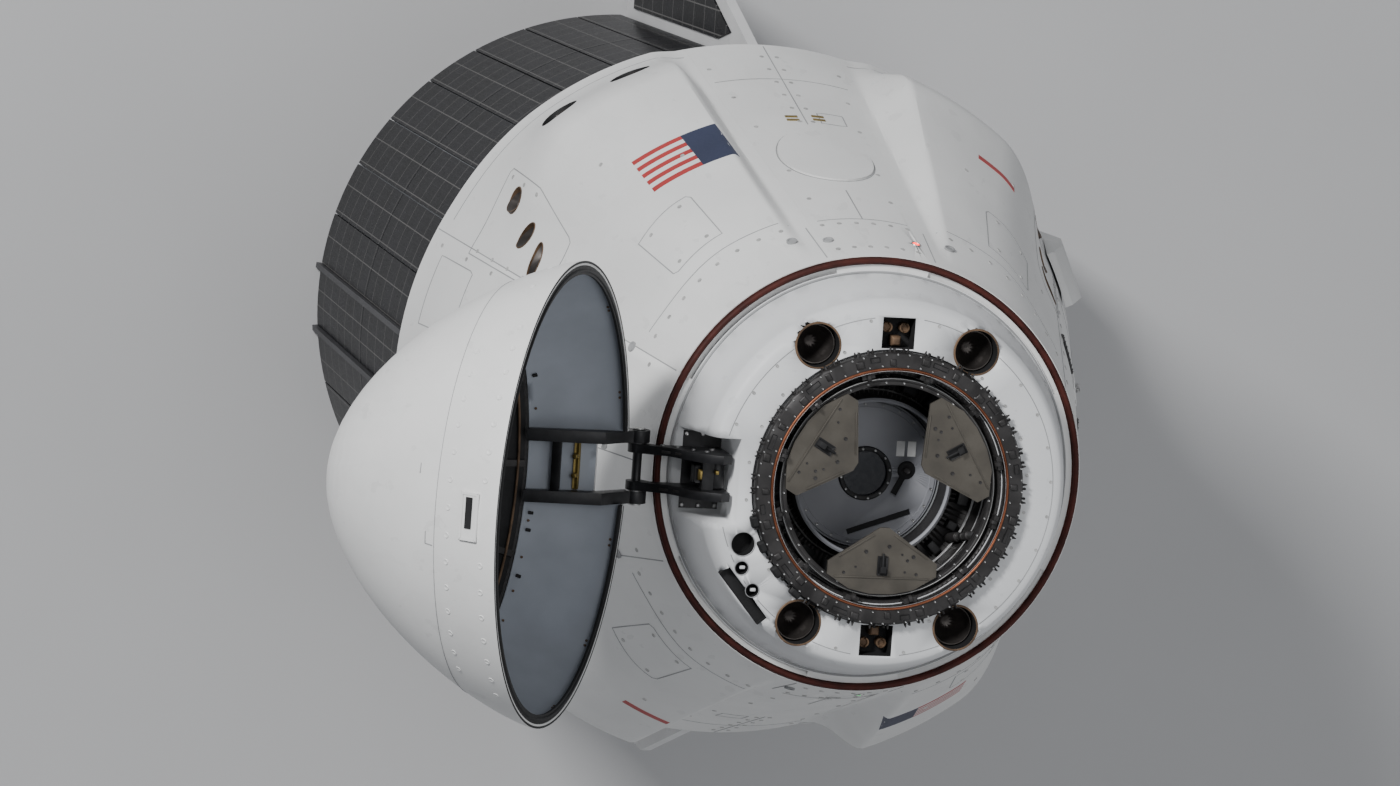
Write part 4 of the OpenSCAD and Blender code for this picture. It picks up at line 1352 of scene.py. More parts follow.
    def fittings(self) -> None:
        """Adds the marks above the port cover and small sensor bosses."""
        marks = [Piece.block((0.07, 0.026, 0.006)).bevel(0.002).moved(self.hull.seat(a, h, 0.001))
                 for a, h in ((92.4, 1.18), (87.2, 1.16), (92.4, 1.13), (87.2, 1.11))]
        Piece.joined(marks).done("grapple_marks", Body.CAPSULE, "wall_white", "brass")
        bosses = []
        for a, h in ((101.5, 2.86), (70, 2.82), (257, 2.86), (110, 2.82), (155, 2.55), (205, 2.55)):
            boss = Piece.rod(0.028, 0.012, (0, 0, 0.003), sides=24)
            boss.inset(TOPS, 0.008, 0.0)
            boss.inset(lambda c, n: n.z > 0.9 and c.length < 0.02, 0.002, -0.004)
            bosses.append(boss.moved(self.hull.seat(a, h)))
        Piece.joined(bosses).done("wall_bosses", Body.CAPSULE, "wall_white", "seam_grey")
        lips = [Piece.hoop(0.024, 0.004, sides=32, around=8).moved(self.hull.seat(a, 2.86, 0.002))
                for a in (79, 275)]
        Piece.joined(lips).done("lamp_bezels", Body.CAPSULE, "bare_metal")


@dataclass
class DeckTrim:
    """Liners of the deck's wells, notches and holes, near-black as painted shade, with their rims and
    fittings.
    """

    deck_z: float
    well_circle: float = 0.822
    well_angle: float = 30.2
    well_r: float = 0.112
    well_depth: float = 0.26
    notch: tuple[float, float, float] = (0.17, 0.16, 0.12)
    notch_at: float = 0.79
    holes: tuple[tuple[float, float, float], ...] = ((-0.729, -0.317, 0.060), (-0.727, -0.440, 0.034),
                                                     (-0.664, -0.553, 0.034))

    def cup(self, radius: float, depth: float, wall: float = 0.002) -> Piece:
        """A thin round cup with its mouth at z = 0."""
        r = radius - 0.0006
        return Piece.turned([(r, -0.002), (r, -depth + 0.003), (0.0005, -depth + 0.003),
                             (0.0005, -depth + 0.003 + wall),
                             (r - wall, -depth + 0.003 + wall), (r - wall, -0.002)], sides=48)

    def build(self) -> None:
        """Builds every piece of the deck's trim."""
        places = [shift(x * self.well_circle * math.sin(math.radians(self.well_angle)),
                        y * self.well_circle * math.cos(math.radians(self.well_angle)), self.deck_z)
                  for x in (-1, 1) for y in (-1, 1)]
        # near-black cups inside the thruster wells: painted shade
        self.cup(self.well_r, self.well_depth).array(places).done(
            "thruster_well_shade_liners", Body.CAPSULE, "nozzle_metal", "black_parts_and_painted_hole_shade")
        rim = Piece.turned([(self.well_r - 0.001, 0.0002), (self.well_r - 0.001, 0.003),
                            (self.well_r + 0.006, 0.003),
                            (self.well_r + 0.009, 0.0002)], sides=64)
        rim.array(places).done("thruster_well_rims", Body.CAPSULE, "bare_metal", "scorched")
        self.notches()
        # near-black cups inside the small holes: painted shade
        cups = [self.cup(r, 0.09).moved(shift(x, y, self.deck_z)) for x, y, r in self.holes]
        Piece.joined(cups).done("deck_hole_shade_liners", Body.CAPSULE, "rim_black", "black_parts_and_painted_hole_shade")
        tongues = []
        for x, y, r in self.holes[1:]:
            tongue = Piece.block((0.030, 0.018, 0.03), (x + 0.008, y, self.deck_z - 0.03)).bevel(0.006, 3)
            tongues.append(tongue)
        Piece.joined(tongues).done("deck_hole_fittings", Body.CAPSULE, "deck_white")
        rings = [Piece.hoop(r + 0.002, 0.002, (x, y, self.deck_z + 0.0005), sides=48, around=8)
                 for x, y, r in self.holes]
        Piece.joined(rings).done("deck_hole_rims", Body.CAPSULE, "deck_white", "seam_grey")
        self.long_slot()
        self.seams()
        self.cables()

    def notches(self) -> None:
        """Lines the two notches with painted shade and sets two round fittings in each."""
        wide, long, deep = self.notch
        shade_liners, fittings, covers = [], [], []
        for side in (-1, 1):
            # near-black box lining the notch: painted shade
            box = Piece.block((wide - 0.001, long - 0.001, deep - 0.003), (0, side * self.notch_at,
                                                                          self.deck_z - deep / 2 + 0.0005))
            box.without(TOPS)
            shade_liners.append(box.modify("SOLIDIFY", thickness=0.003, offset=-1.0))
            for x in (-0.045, 0.045):
                stud = Piece.rod(0.026, 0.05, (x, side * (self.notch_at + 0.022), self.deck_z - 0.085),
                                 sides=32)
                stud.inset(TOPS, 0.007, 0.0)
                stud.inset(lambda c, n: n.z > 0.9 and abs(c.x - x) < 0.01, 0.004, -0.014)
                fittings.append(stud.bevel(0.0015))
            plug = Piece.block((0.05, 0.05, 0.07), (0, side * (self.notch_at - 0.045), self.deck_z - 0.08))
            plug.inset(TOPS, 0.008, 0.012)
            covers.append(plug.bevel(0.003))
        Piece.joined(shade_liners).done("notch_shade_liners", Body.CAPSULE, "rim_black", "black_parts_and_painted_hole_shade")
        Piece.joined(fittings).done("notch_fittings", Body.CAPSULE, "bare_metal", "scorched")
        Piece.joined(covers).done("notch_plugs", Body.CAPSULE, "adapter_dark", "scorched")

    def long_slot(self) -> None:
        """Lines the long slot on the shoulder with a rounded tray, near-black as painted shade."""
        # near-black tray and sides: painted shade in the slot
        tray = Piece.block((0.060, 0.338, 0.012), (0.9135, 0, self.deck_z - 0.073))
        tray.inset(TOPS, 0.004, -0.004)
        sides = Piece.block((0.060, 0.338, 0.034), (0.9135, 0, self.deck_z - 0.060))
        sides.without(lambda c, n: abs(n.z) > 0.9 or n.x > 0.9)
        sides.modify("SOLIDIFY", thickness=0.003, offset=-1.0)
        turn = spun("Z", 220)
        Piece.joined([tray.moved(turn), sides.moved(turn)]).done("slot_shade_liner", Body.CAPSULE, "rim_black",
                                                                 "black_parts_and_painted_hole_shade")

    def seams(self) -> None:
        """Draws the deck's circular seam, and its fasteners."""
        seam = Piece.hoop(0.872, 0.0022, (0, 0, self.deck_z), sides=320, around=6)
        seam.without(lambda c, n: not self.clear(0.872, math.degrees(math.atan2(c.y, c.x))))
        seam.closed().done("deck_seam", Body.CAPSULE, "deck_white", "seam_grey")
        filler = Piece.turned([(1.042, self.deck_z - 0.424), (1.062, self.deck_z - 0.424),
                               (1.062, self.deck_z - 0.4155),
                               (1.046, self.deck_z - 0.411), (1.042, self.deck_z - 0.412)], sides=192)
        filler.without(lambda c, n: c.x < -0.9 and abs(c.y) < 0.20)
        filler.closed().done("deck_foot_strip", Body.CAPSULE, "deck_white")
        places = [spun("Z", a) @ shift(r, 0, self.deck_z)
                  for r, step, start in ((0.735, 15, 7), (0.86, 12, 4)) for a in range(start, 360, step)
                  if self.clear(r, a)]
        bolt(0.0085, 0.003).array(places).done("deck_fasteners", Body.CAPSULE, "deck_white", "fastener_grey")

    def clear(self, r: float, angle: float) -> bool:
        """Whether a fastener's place is clear of every hole."""
        x, y = r * math.cos(math.radians(angle)), r * math.sin(math.radians(angle))
        wells = [(a * self.well_circle * math.sin(math.radians(self.well_angle)),
                  b * self.well_circle * math.cos(math.radians(self.well_angle)), self.well_r)
                 for a in (-1, 1) for b in (-1, 1)]
        notches = [(0, self.notch_at, 0.13), (0, -self.notch_at, 0.13)]
        bay = x < -0.74 and abs(y) < 0.24
        slot = abs(angle - 220) < 14 and r > 0.84
        return not bay and not slot and all((x - a) ** 2 + (y - b) ** 2 > (c + 0.02) ** 2
                                            for a, b, c in wells + notches + list(self.holes))

    def cables(self) -> None:
        """Adds the lip that closes the deck's foot against the side wall."""
        lip = Piece.turned([(1.046, self.deck_z - 0.43), (1.058, self.deck_z - 0.43),
                            (1.058, self.deck_z - 0.412),
                            (1.052, self.deck_z - 0.406), (1.046, self.deck_z - 0.41)], sides=160)
        lip.done("deck_foot_lip", Body.CAPSULE, "deck_white", "seam_grey")


@dataclass
class DockingTrim:
    """The docking adapter's seals, latches, slots, cabling and the tunnel's lining."""

    deck_z: float
    ring_r: float = 0.700
    face_w: float = 0.096
    rise: float = 0.062
    capture_r: float = 0.562
    capture_t: float = 0.034
    tunnel_r: float = 0.395
    tunnel_low: float = 6.83

    def build(self) -> None:
        """Builds every piece of the adapter's trim."""
        top = self.deck_z + self.rise
        seal = Piece.hoop(0.616, 0.0065, (0, 0, top + 0.001), sides=160)
        inner = Piece.hoop(0.608, 0.003, (0, 0, top + 0.0005), sides=160, around=8)
        Piece.joined([seal, inner]).done("docking_seals", Body.CAPSULE, "seal_red", "copper")
        self.face(top)
        self.teeth(top)
        self.capture()
        self.petals()
        self.lining()
        self.latches()

    def face(self, top: float) -> None:
        """Dresses the ring's face with slots, pads and bolts."""
        slots = []
        for k in range(12):
            slot = Piece.block((0.026, 0.082 if k % 3 else 0.05, 0.006), (0.667, 0, top + 0.0005))
            slot.inset(TOPS, 0.005, -0.004)
            slots.append(slot.moved(spun("Z", 11 + 30 * k)))
        Piece.joined(slots).done("docking_face_slots", Body.CAPSULE, "adapter_dark", "black_parts_and_painted_hole_shade")
        pads = []
        for k in range(24):
            pad = Piece.block((0.036, 0.03 + 0.012 * (k % 2), 0.007),
                              (0.648 + 0.01 * (k % 3), 0, top + 0.003))
            pad.inset(TOPS, 0.006, 0.003)
            pads.append(pad.bevel(0.0015, 1).moved(spun("Z", 3 + 15 * k)))
        Piece.joined(pads).done("docking_face_pads", Body.CAPSULE, "adapter_dark")
        places = [turn @ shift(r, 0, top) for r, count, start in ((0.690, 72, 1), (0.633, 60, 2))
                  for turn in ring_places(count, start)]
        bolt(0.005, 0.004).array(places).done("docking_face_bolts", Body.CAPSULE, "bare_metal", "bolt_steel")
        step = Piece.turned([(0.6045, top - 0.001), (0.6045, top + 0.004), (0.6075, top + 0.004),
                             (0.6075, top - 0.001)], sides=160)
        step.done("docking_inner_edge", Body.CAPSULE, "adapter_dark", "bolt_steel")

    def teeth(self, top: float) -> None:
        """Sets pointed clips on the ring's outer edge."""
        tooth = Piece.rod(0.010, 0.030, (self.ring_r + 0.010, 0, top - 0.026), along=(1, 0, 0.25), sides=8,
                          tip=0.003)
        tooth.inset(lambda c, n: n.x < -0.9, 0.002, 0.002)
        tooth.array(ring_places(48, 3.75)).done("docking_edge_clips", Body.CAPSULE, "adapter_dark")
        lump = Piece.block((0.052, 0.062, 0.044), (self.ring_r + 0.006, 0, self.deck_z + 0.024))
        lump.bevel(0.010, 3)
        lump.inset(TOPS, 0.010, 0.006)
        places = [spun("Z", a) for a in (196, 207, 219, 231)]
        lump.array(places).done("docking_edge_housings", Body.CAPSULE, "adapter_dark", "black_parts_and_painted_hole_shade")
        gasket = Piece.hoop(self.ring_r + 0.004, 0.004, (0, 0, self.deck_z + 0.003), sides=128, around=8)
        gasket.done("docking_base_gasket", Body.CAPSULE, "rim_black")

    def capture(self) -> None:
        """Dresses the soft capture ring with a dark body, a polished edge and bolts."""
        low = self.deck_z - 0.030
        high = low + self.capture_t
        edge = Piece.hoop(self.capture_r - 0.003, 0.0032, (0, 0, high - 0.001), sides=160, around=8)
        edge.done("capture_ring_edge", Body.CAPSULE, "bare_metal")
        body = Piece.turned([(self.capture_r - 0.036, low), (self.capture_r - 0.002, low - 0.001),
                             (self.capture_r + 0.001, low + 0.006), (self.capture_r + 0.001, high - 0.006),
                             (self.capture_r - 0.005, high + 0.0004), (self.capture_r - 0.014, high + 0.0004),
                             (self.capture_r - 0.018, high - 0.004), (self.capture_r - 0.028, high - 0.004),
                             (self.capture_r - 0.036, high)], sides=160)
        body.done("capture_ring_body", Body.CAPSULE, "bare_metal", "adapter_dark", ("soft_capture_ring",))
        places = [turn @ shift(self.capture_r - 0.023, 0, high - 0.004) for turn in ring_places(36, 5)]
        bolt(0.0055, 0.004).array(places).done("capture_ring_bolts", Body.CAPSULE, "bare_metal", "bolt_steel")

    def petals(self) -> None:
        """Lays a stiffened plate with a latch on each guide petal."""
        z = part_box("guide_petals")[1].z
        latches, ribs, marks = [], [], []
        for angle in (30, 150, 270):
            turn = spun("Z", angle)
            base = Piece.block((0.10, 0.055, 0.012), (0.40, 0, z + 0.005)).bevel(0.003)
            base.inset(TOPS, 0.008, -0.004)
            hook = Piece.block((0.034, 0.030, 0.030), (0.43, 0, z + 0.022))
            hook.faces(TOPS, lambda: bpy.ops.transform.translate(value=(-0.014, 0, 0)))
            lever = Piece.rod(0.006, 0.10, (0.385, 0, z + 0.018), along=(1, 0, 0.1), sides=16).bevel(0.0015)
            latches += [p.bevel(0.002, 1).moved(turn) for p in (base, hook)] + [lever.moved(turn)]
            for side in (-1, 1):
                rib = Piece.block((0.215, 0.008, 0.006), (0, 0, 0)).bevel(0.0015)
                slant = Matrix.Rotation(side * math.radians(57), 4, "Z")
                ribs.append(rib.moved(turn @ shift(0.300, side * 0.142, z + 0.002) @ slant))
            ribs.append(Piece.block((0.008, 0.50, 0.006), (0.462, 0, z + 0.002)).bevel(0.0015).moved(turn))
            for k, (x, y) in enumerate(((0.34, 0.10), (0.37, 0.13), (0.35, 0.16), (0.43, 0.12), (0.44, 0.18),
                                        (0.33, -0.09), (0.41, -0.14), (0.44, -0.20), (0.30, 0.03))):
                spot = Piece.rod(0.006 + 0.002 * (k % 3), 0.004, (x, y, z + 0.001), sides=16)
                marks.append(spot.inset(TOPS, 0.002, -0.001).moved(turn))
        Piece.joined(latches).done("petal_latches", Body.CAPSULE, "adapter_dark", "black_parts_and_painted_hole_shade")
        Piece.joined(ribs).done("petal_ribs", Body.CAPSULE, "petal_metal")
        Piece.joined(marks).done("petal_rivets", Body.CAPSULE, "adapter_dark")

    def lining(self) -> None:
        """Lines the well round the tunnel with panels, boxes and cable runs."""
        low = self.tunnel_low + 0.045
        out_r = self.ring_r - self.face_w - 0.024
        panels = []
        for k in range(18):
            panel = Piece.block((0.006, 0.165, 0.30), (out_r - 0.006, 0, low + 0.19))
            panel.inset(lambda c, n: n.x < -0.9, 0.012, 0.003)
            panels.append(panel.moved(spun("Z", 20 * k)))
        Piece.joined(panels).done("tunnel_well_panels", Body.CAPSULE, "adapter_dark")
        boxes = []
        dice = random.Random(7)
        for k in range(22):
            tall = 0.04 + 0.08 * dice.random()
            box = Piece.block((0.05 + 0.03 * dice.random(), 0.04 + 0.06 * dice.random(), tall),
                              (0.50 + 0.02 * dice.random(), 0, low + tall / 2 - 0.004))
            box.inset(TOPS, 0.008, 0.005)
            boxes.append(box.bevel(0.003, 1).moved(spun("Z", 16.4 * k + 4)))
        Piece.joined(boxes).done("tunnel_well_boxes", Body.CAPSULE, "adapter_dark", "black_parts_and_painted_hole_shade")
        lines = [Piece.hoop(r, 0.005, (0, 0, z), sides=128, around=8)
                 for r, z in ((0.565, low + 0.05), (0.562, low + 0.075), (0.566, low + 0.22),
                              (0.45, low + 0.012))]
        Piece.joined(lines).done("tunnel_cable_runs", Body.CAPSULE, "adapter_dark", "bolt_steel")
        collar = Piece.turned([(self.tunnel_r + 0.001, low + 0.10), (self.tunnel_r + 0.017, low + 0.10),
                               (self.tunnel_r + 0.022, low + 0.106), (self.tunnel_r + 0.022, low + 0.118),
                               (self.tunnel_r + 0.012, low + 0.124), (self.tunnel_r + 0.001, low + 0.118)],
                              sides=128)
        collar.done("tunnel_collar", Body.CAPSULE, "adapter_dark", "hatch_grey")

    def latches(self) -> None:
        """Adds the twelve hook pairs and the actuators on the struts."""
        hooks = []
        for turn in ring_places(12, 15):
            frame_box = Piece.block((0.030, 0.070, 0.075), (0.588, 0, self.deck_z + 0.012))
            frame_box.inset(lambda c, n: n.x < -0.9, 0.010, -0.006)
            hook = Piece.rod(0.020, 0.020, (0.580, 0.0, self.deck_z + 0.05), along=(0, 1, 0), sides=20)
            hook.inset(ENDS, 0.006, -0.003)
            arm = Piece.block((0.014, 0.018, 0.05), (0.577, 0, self.deck_z + 0.028))
            hooks += [p.bevel(0.002, 1).moved(turn) for p in (frame_box, hook, arm)]
        Piece.joined(hooks).done("docking_hooks", Body.CAPSULE, "adapter_dark")
        sleeves = []
        foot, lean = self.tunnel_low + 0.04 + 0.0045, math.radians(14)
        for k in range(6):
            side = 1 if k % 2 == 0 else -1
            place = (spun("Z", k * 60 + 30)
                     @ shift(self.capture_r - 0.020, side * 0.05, foot)
                     @ Matrix.Rotation(side * lean, 4, "X"))
            for z, r, size in ((0.10, 0.026, 0.11), (0.22, 0.022, 0.03), (0.30, 0.025, 0.02)):
                sleeve = Piece.rod(r, size, (0, 0, z), sides=24)
                sleeve.inset(TOPS, 0.004, 0.002)
                sleeves.append(sleeve.bevel(0.002, 1).moved(place))
        Piece.joined(sleeves).done("strut_actuators", Body.CAPSULE, "bare_metal", "adapter_dark")


@dataclass
class TunnelHatchTrim:
    """What stands on the tunnel hatch's upper face."""

    top: float
    radius: float = 0.385
    window_r: float = 0.118

    def build(self) -> None:
        """Builds the hatch's trim."""
        z = self.top
        bezel = Piece.turned([(self.window_r - 0.002, z - 0.002), (self.window_r - 0.002, z + 0.010),
                              (self.window_r + 0.004, z + 0.014), (self.window_r + 0.018, z + 0.014),
                              (self.window_r + 0.024, z + 0.004), (self.window_r + 0.024, z - 0.002)],
                             sides=72)
        bezel.done("tunnel_window_bezel", Body.TUNNEL, "window_glass", "rim_black")
        dark = []
        key = Piece.rod(0.049, 0.004, (0.222, 0.022, z - 0.0165), sides=40)
        key.inset(TOPS, 0.012, 0.004)
        shank = Piece.block((0.100, 0.037, 0.004), (0.090, 0, 0)).moved(
            shift(0.222, 0.022, z - 0.0165) @ spun("Z", 244))
        slot = Piece.block((0.346, 0.030, 0.004)).moved(
            shift(0.092, -0.252, z - 0.0165) @ spun("Z", 20))
        dark += [key, shank.inset(TOPS, 0.006, 0.002), slot.inset(TOPS, 0.006, -0.001)]
        Piece.joined(dark).done("tunnel_hatch_recesses", Body.TUNNEL, "rim_black", "black_parts_and_painted_hole_shade")
        knob = Piece.rod(0.020, 0.020, (0.222, 0.022, z - 0.006), sides=24)
        knob.inset(TOPS, 0.006, -0.006)
        knob.bevel(0.002).done("tunnel_hatch_knob", Body.TUNNEL, "bare_metal", "adapter_dark")
        plates = []
        for x in (0.180, 0.240):
            plate = Piece.block((0.044, 0.080, 0.003), (x, 0.135, z + 0.001)).bevel(0.001)
            plates.append(plate.inset(TOPS, 0.004, -0.0006))
        Piece.joined(plates).done("tunnel_hatch_plates", Body.TUNNEL, "hatch_grey", "stripe_white")
        rim = Piece.turned([(self.radius - 0.040, z - 0.002), (self.radius - 0.036, z + 0.006),
                            (self.radius - 0.012, z + 0.006),
                            (self.radius - 0.006, z - 0.002)], sides=128)
        rim.done("tunnel_hatch_rim", Body.TUNNEL, "hatch_grey")
        places = [turn @ shift(self.radius - 0.024, 0, z + 0.006) for turn in ring_places(24, 4)]
        places += [turn @ shift(self.window_r + 0.011, 0, z + 0.014) for turn in ring_places(12, 10)]
        bolt(0.007, 0.004).array(places).done("tunnel_hatch_bolts", Body.TUNNEL, "bare_metal", "bolt_steel")


@dataclass
class NoseTrim:
    """The nose cone's lining, rim, latches, dimples and pocket."""

    cone: ConeShape
    liner_h: float = 0.46
    dimple_rows: tuple[tuple[float, float, float, float], ...] = ((0.075, -52, 52, 6.9),
                                                                  (0.268, -48, 48, 7.2))

    def place(self, piece: Piece, name: str, slot: str, finish: str | None = None,
              angle: float = 35.0) -> None:
        """Turns a piece that was built on the closed cone to where the cone stands, and finishes it."""
        piece.moved(self.cone.opened()).done(name, Body.NOSE, slot, finish, angle=angle)

    def build(self) -> None:
        """Builds every piece of the nose cone's trim."""
        self.lining()
        self.rim()
        self.outside()
        self.inside()

    def lining(self) -> None:
        """Lines the hollow past the liner with dark blankets and their ribs."""
        cone, rim_z = self.cone, self.cone.rim_z
        steps = 20
        reach = cone.height - cone.wall - 0.010 - self.liner_h
        deep = [self.liner_h + 0.004 + reach * math.sin(math.pi / 2 * k / steps) for k in range(steps + 1)]
        outline = [(max(0.0006, cone.inner(d) - 0.005), rim_z + d) for d in deep]
        outline.append((0.0006, outline[-1][1] + 0.001))
        blanket = Piece.turned(outline, sides=144, closed=False)
        blanket.modify("SOLIDIFY", thickness=0.003, offset=0.0)
        self.place(blanket, "nose_cavity_lining", "rim_black", "black_parts_and_painted_hole_shade")
        ribs = []
        for angle in range(0, 360, 30):
            rib = Piece.sheet(14, 1, lambda s, t, a=angle: self.cone.seat(
                a + (t - 0.5) * 2.2, self.liner_h + 0.02 + 0.5 * s, inside=True, out=0.012).translation)
            ribs.append(rib.modify("SOLIDIFY", thickness=0.012, offset=0.0))
        for d in (0.62, 0.80):
            r = cone.inner(d) - 0.014
            ribs.append(Piece.hoop(r, 0.010, (0, 0, rim_z + d), sides=120, around=8))
        self.place(Piece.joined(ribs), "nose_cavity_ribs", "rim_black", "adapter_dark")
        r = cone.inner(self.liner_h) - 0.014
        rail = Piece.turned([(r, rim_z + self.liner_h + 0.006), (r - 0.004, rim_z + self.liner_h + 0.006),
                             (r - 0.004, rim_z + self.liner_h + 0.020), (r, rim_z + self.liner_h + 0.020)],
                            sides=144)
        self.place(rail, "nose_liner_edge", "liner_grey", "bolt_steel")
        brown = Piece.hoop(cone.inner(0.5) - 0.022, 0.007, (0, 0, rim_z + 0.50), sides=120, around=8)
        self.place(brown, "nose_cavity_harness", "rim_black", "scorched")

    def rim(self) -> None:
        """Adds the bulb seal and the edge strip round the rim."""
        cone = self.cone
        r = cone.rim_r - cone.wall - 0.026
        bulb = Piece.hoop(r, 0.008, (0, 0, cone.rim_z + 0.002), sides=160, around=10)
        bulb.without(lambda c, n: c.x < -0.9 * r and abs(c.y) < 0.20)
        bulb.closed()
        self.place(bulb, "nose_bulb_seal", "rim_black")
        edge = Piece.turned([(cone.rim_r - 0.012, cone.rim_z - 0.0014),
                             (cone.rim_r - 0.002, cone.rim_z - 0.0014),
                             (cone.rim_r - 0.0004, cone.rim_z + 0.001),
                             (cone.rim_r - 0.012, cone.rim_z + 0.001)], sides=180)
        edge.without(lambda c, n: c.x < -0.9 and abs(c.y) < 0.20)
        edge.closed()
        self.place(edge, "nose_rim_edge", "rim_black")

    def outside(self) -> None:
        """Adds the dimples, the pocket with its slot and a bracket mark on the outer face."""
        cone = self.cone
        dimple = Piece.turned([(0.0005, 0.0006), (0.007, 0.0006), (0.0105, 0.0028), (0.0135, 0.0028),
                               (0.016, 0.0002)],
                              sides=20, closed=False)
        dimple.outward()
        places = []
        for depth, start, end, step in self.dimple_rows:
            count = int((end - start) / step)
            places += [cone.seat(start + step * k, depth) for k in range(count + 1)
                       if not (depth < 0.2 and -7 < start + step * k < 9)]
        places += [cone.seat(a, 0.12) for a in range(70, 295, 15)]
        self.place(dimple.array(places), "nose_dimples", "wall_white")
        seat = cone.seat(1.0, 0.145)
        pad = Piece.block((0.235, 0.105, 0.012), (0, 0, 0.002)).bevel(0.010, 3)
        pad.inset(TOPS, 0.012, -0.003)
        self.place(pad.moved(seat), "nose_pocket", "wall_white")
        slot = Piece.block((0.150, 0.038, 0.003), (0.018, 0, 0.0085)).bevel(0.001)
        slot.inset(TOPS, 0.004, -0.0015)
        self.place(slot.moved(seat), "nose_pocket_slot", "rim_black", "black_parts_and_painted_hole_shade")
        marks = [Piece.block((0.062, 0.006, 0.003)).moved(cone.seat(353, 0.392)),
                 Piece.block((0.006, 0.05, 0.003)).moved(cone.seat(351.3, 0.372)),
                 Piece.block((0.05, 0.006, 0.003)).moved(cone.seat(12, 0.45))]
        self.place(Piece.joined([m.bevel(0.001) for m in marks]), "nose_bracket_marks", "wall_white",
                   "seam_grey")
        seam = Piece.hoop(cone.outer(0.34) + 0.0006, 0.0016, (0, 0, cone.rim_z + 0.34), sides=180, around=6)
        self.place(seam, "nose_seam", "wall_white", "seam_grey")

    def inside(self) -> None:
        """Adds latches and fastener pairs on the liner."""
        cone = self.cone
        latches, pairs = [], []
        for angle in (195.5, 201, 216.5, 150, 135, 100, 60, 20, 340, 300, 250):
            latch = Piece.block((0.016, 0.026, 0.016), (0, 0, 0.014))
            latch.inset(TOPS, 0.004, -0.004)
            latches.append(latch.bevel(0.002, 1).moved(cone.seat(angle, self.liner_h - 0.03, inside=True)))
        self.place(Piece.joined(latches), "nose_latches", "rim_black", "black_parts_and_painted_hole_shade")
        for angle in (160, 200, 130, 230, 100, 260, 70, 290, 40, 320):
            for step in (-1, 1):
                pairs.append(cone.seat(angle + step * 0.8, 0.028 + 0.012, inside=True, out=0.011))
        for k in range(30):
            pairs.append(cone.seat(6 + 12 * k, 0.435, inside=True, out=0.011))
        pairs = [m for m in pairs if not (m.translation.x < -0.9 and abs(m.translation.y) < 0.22)]
        self.place(bolt(0.007, 0.004).array(pairs), "nose_liner_fasteners", "liner_grey", "scorched")


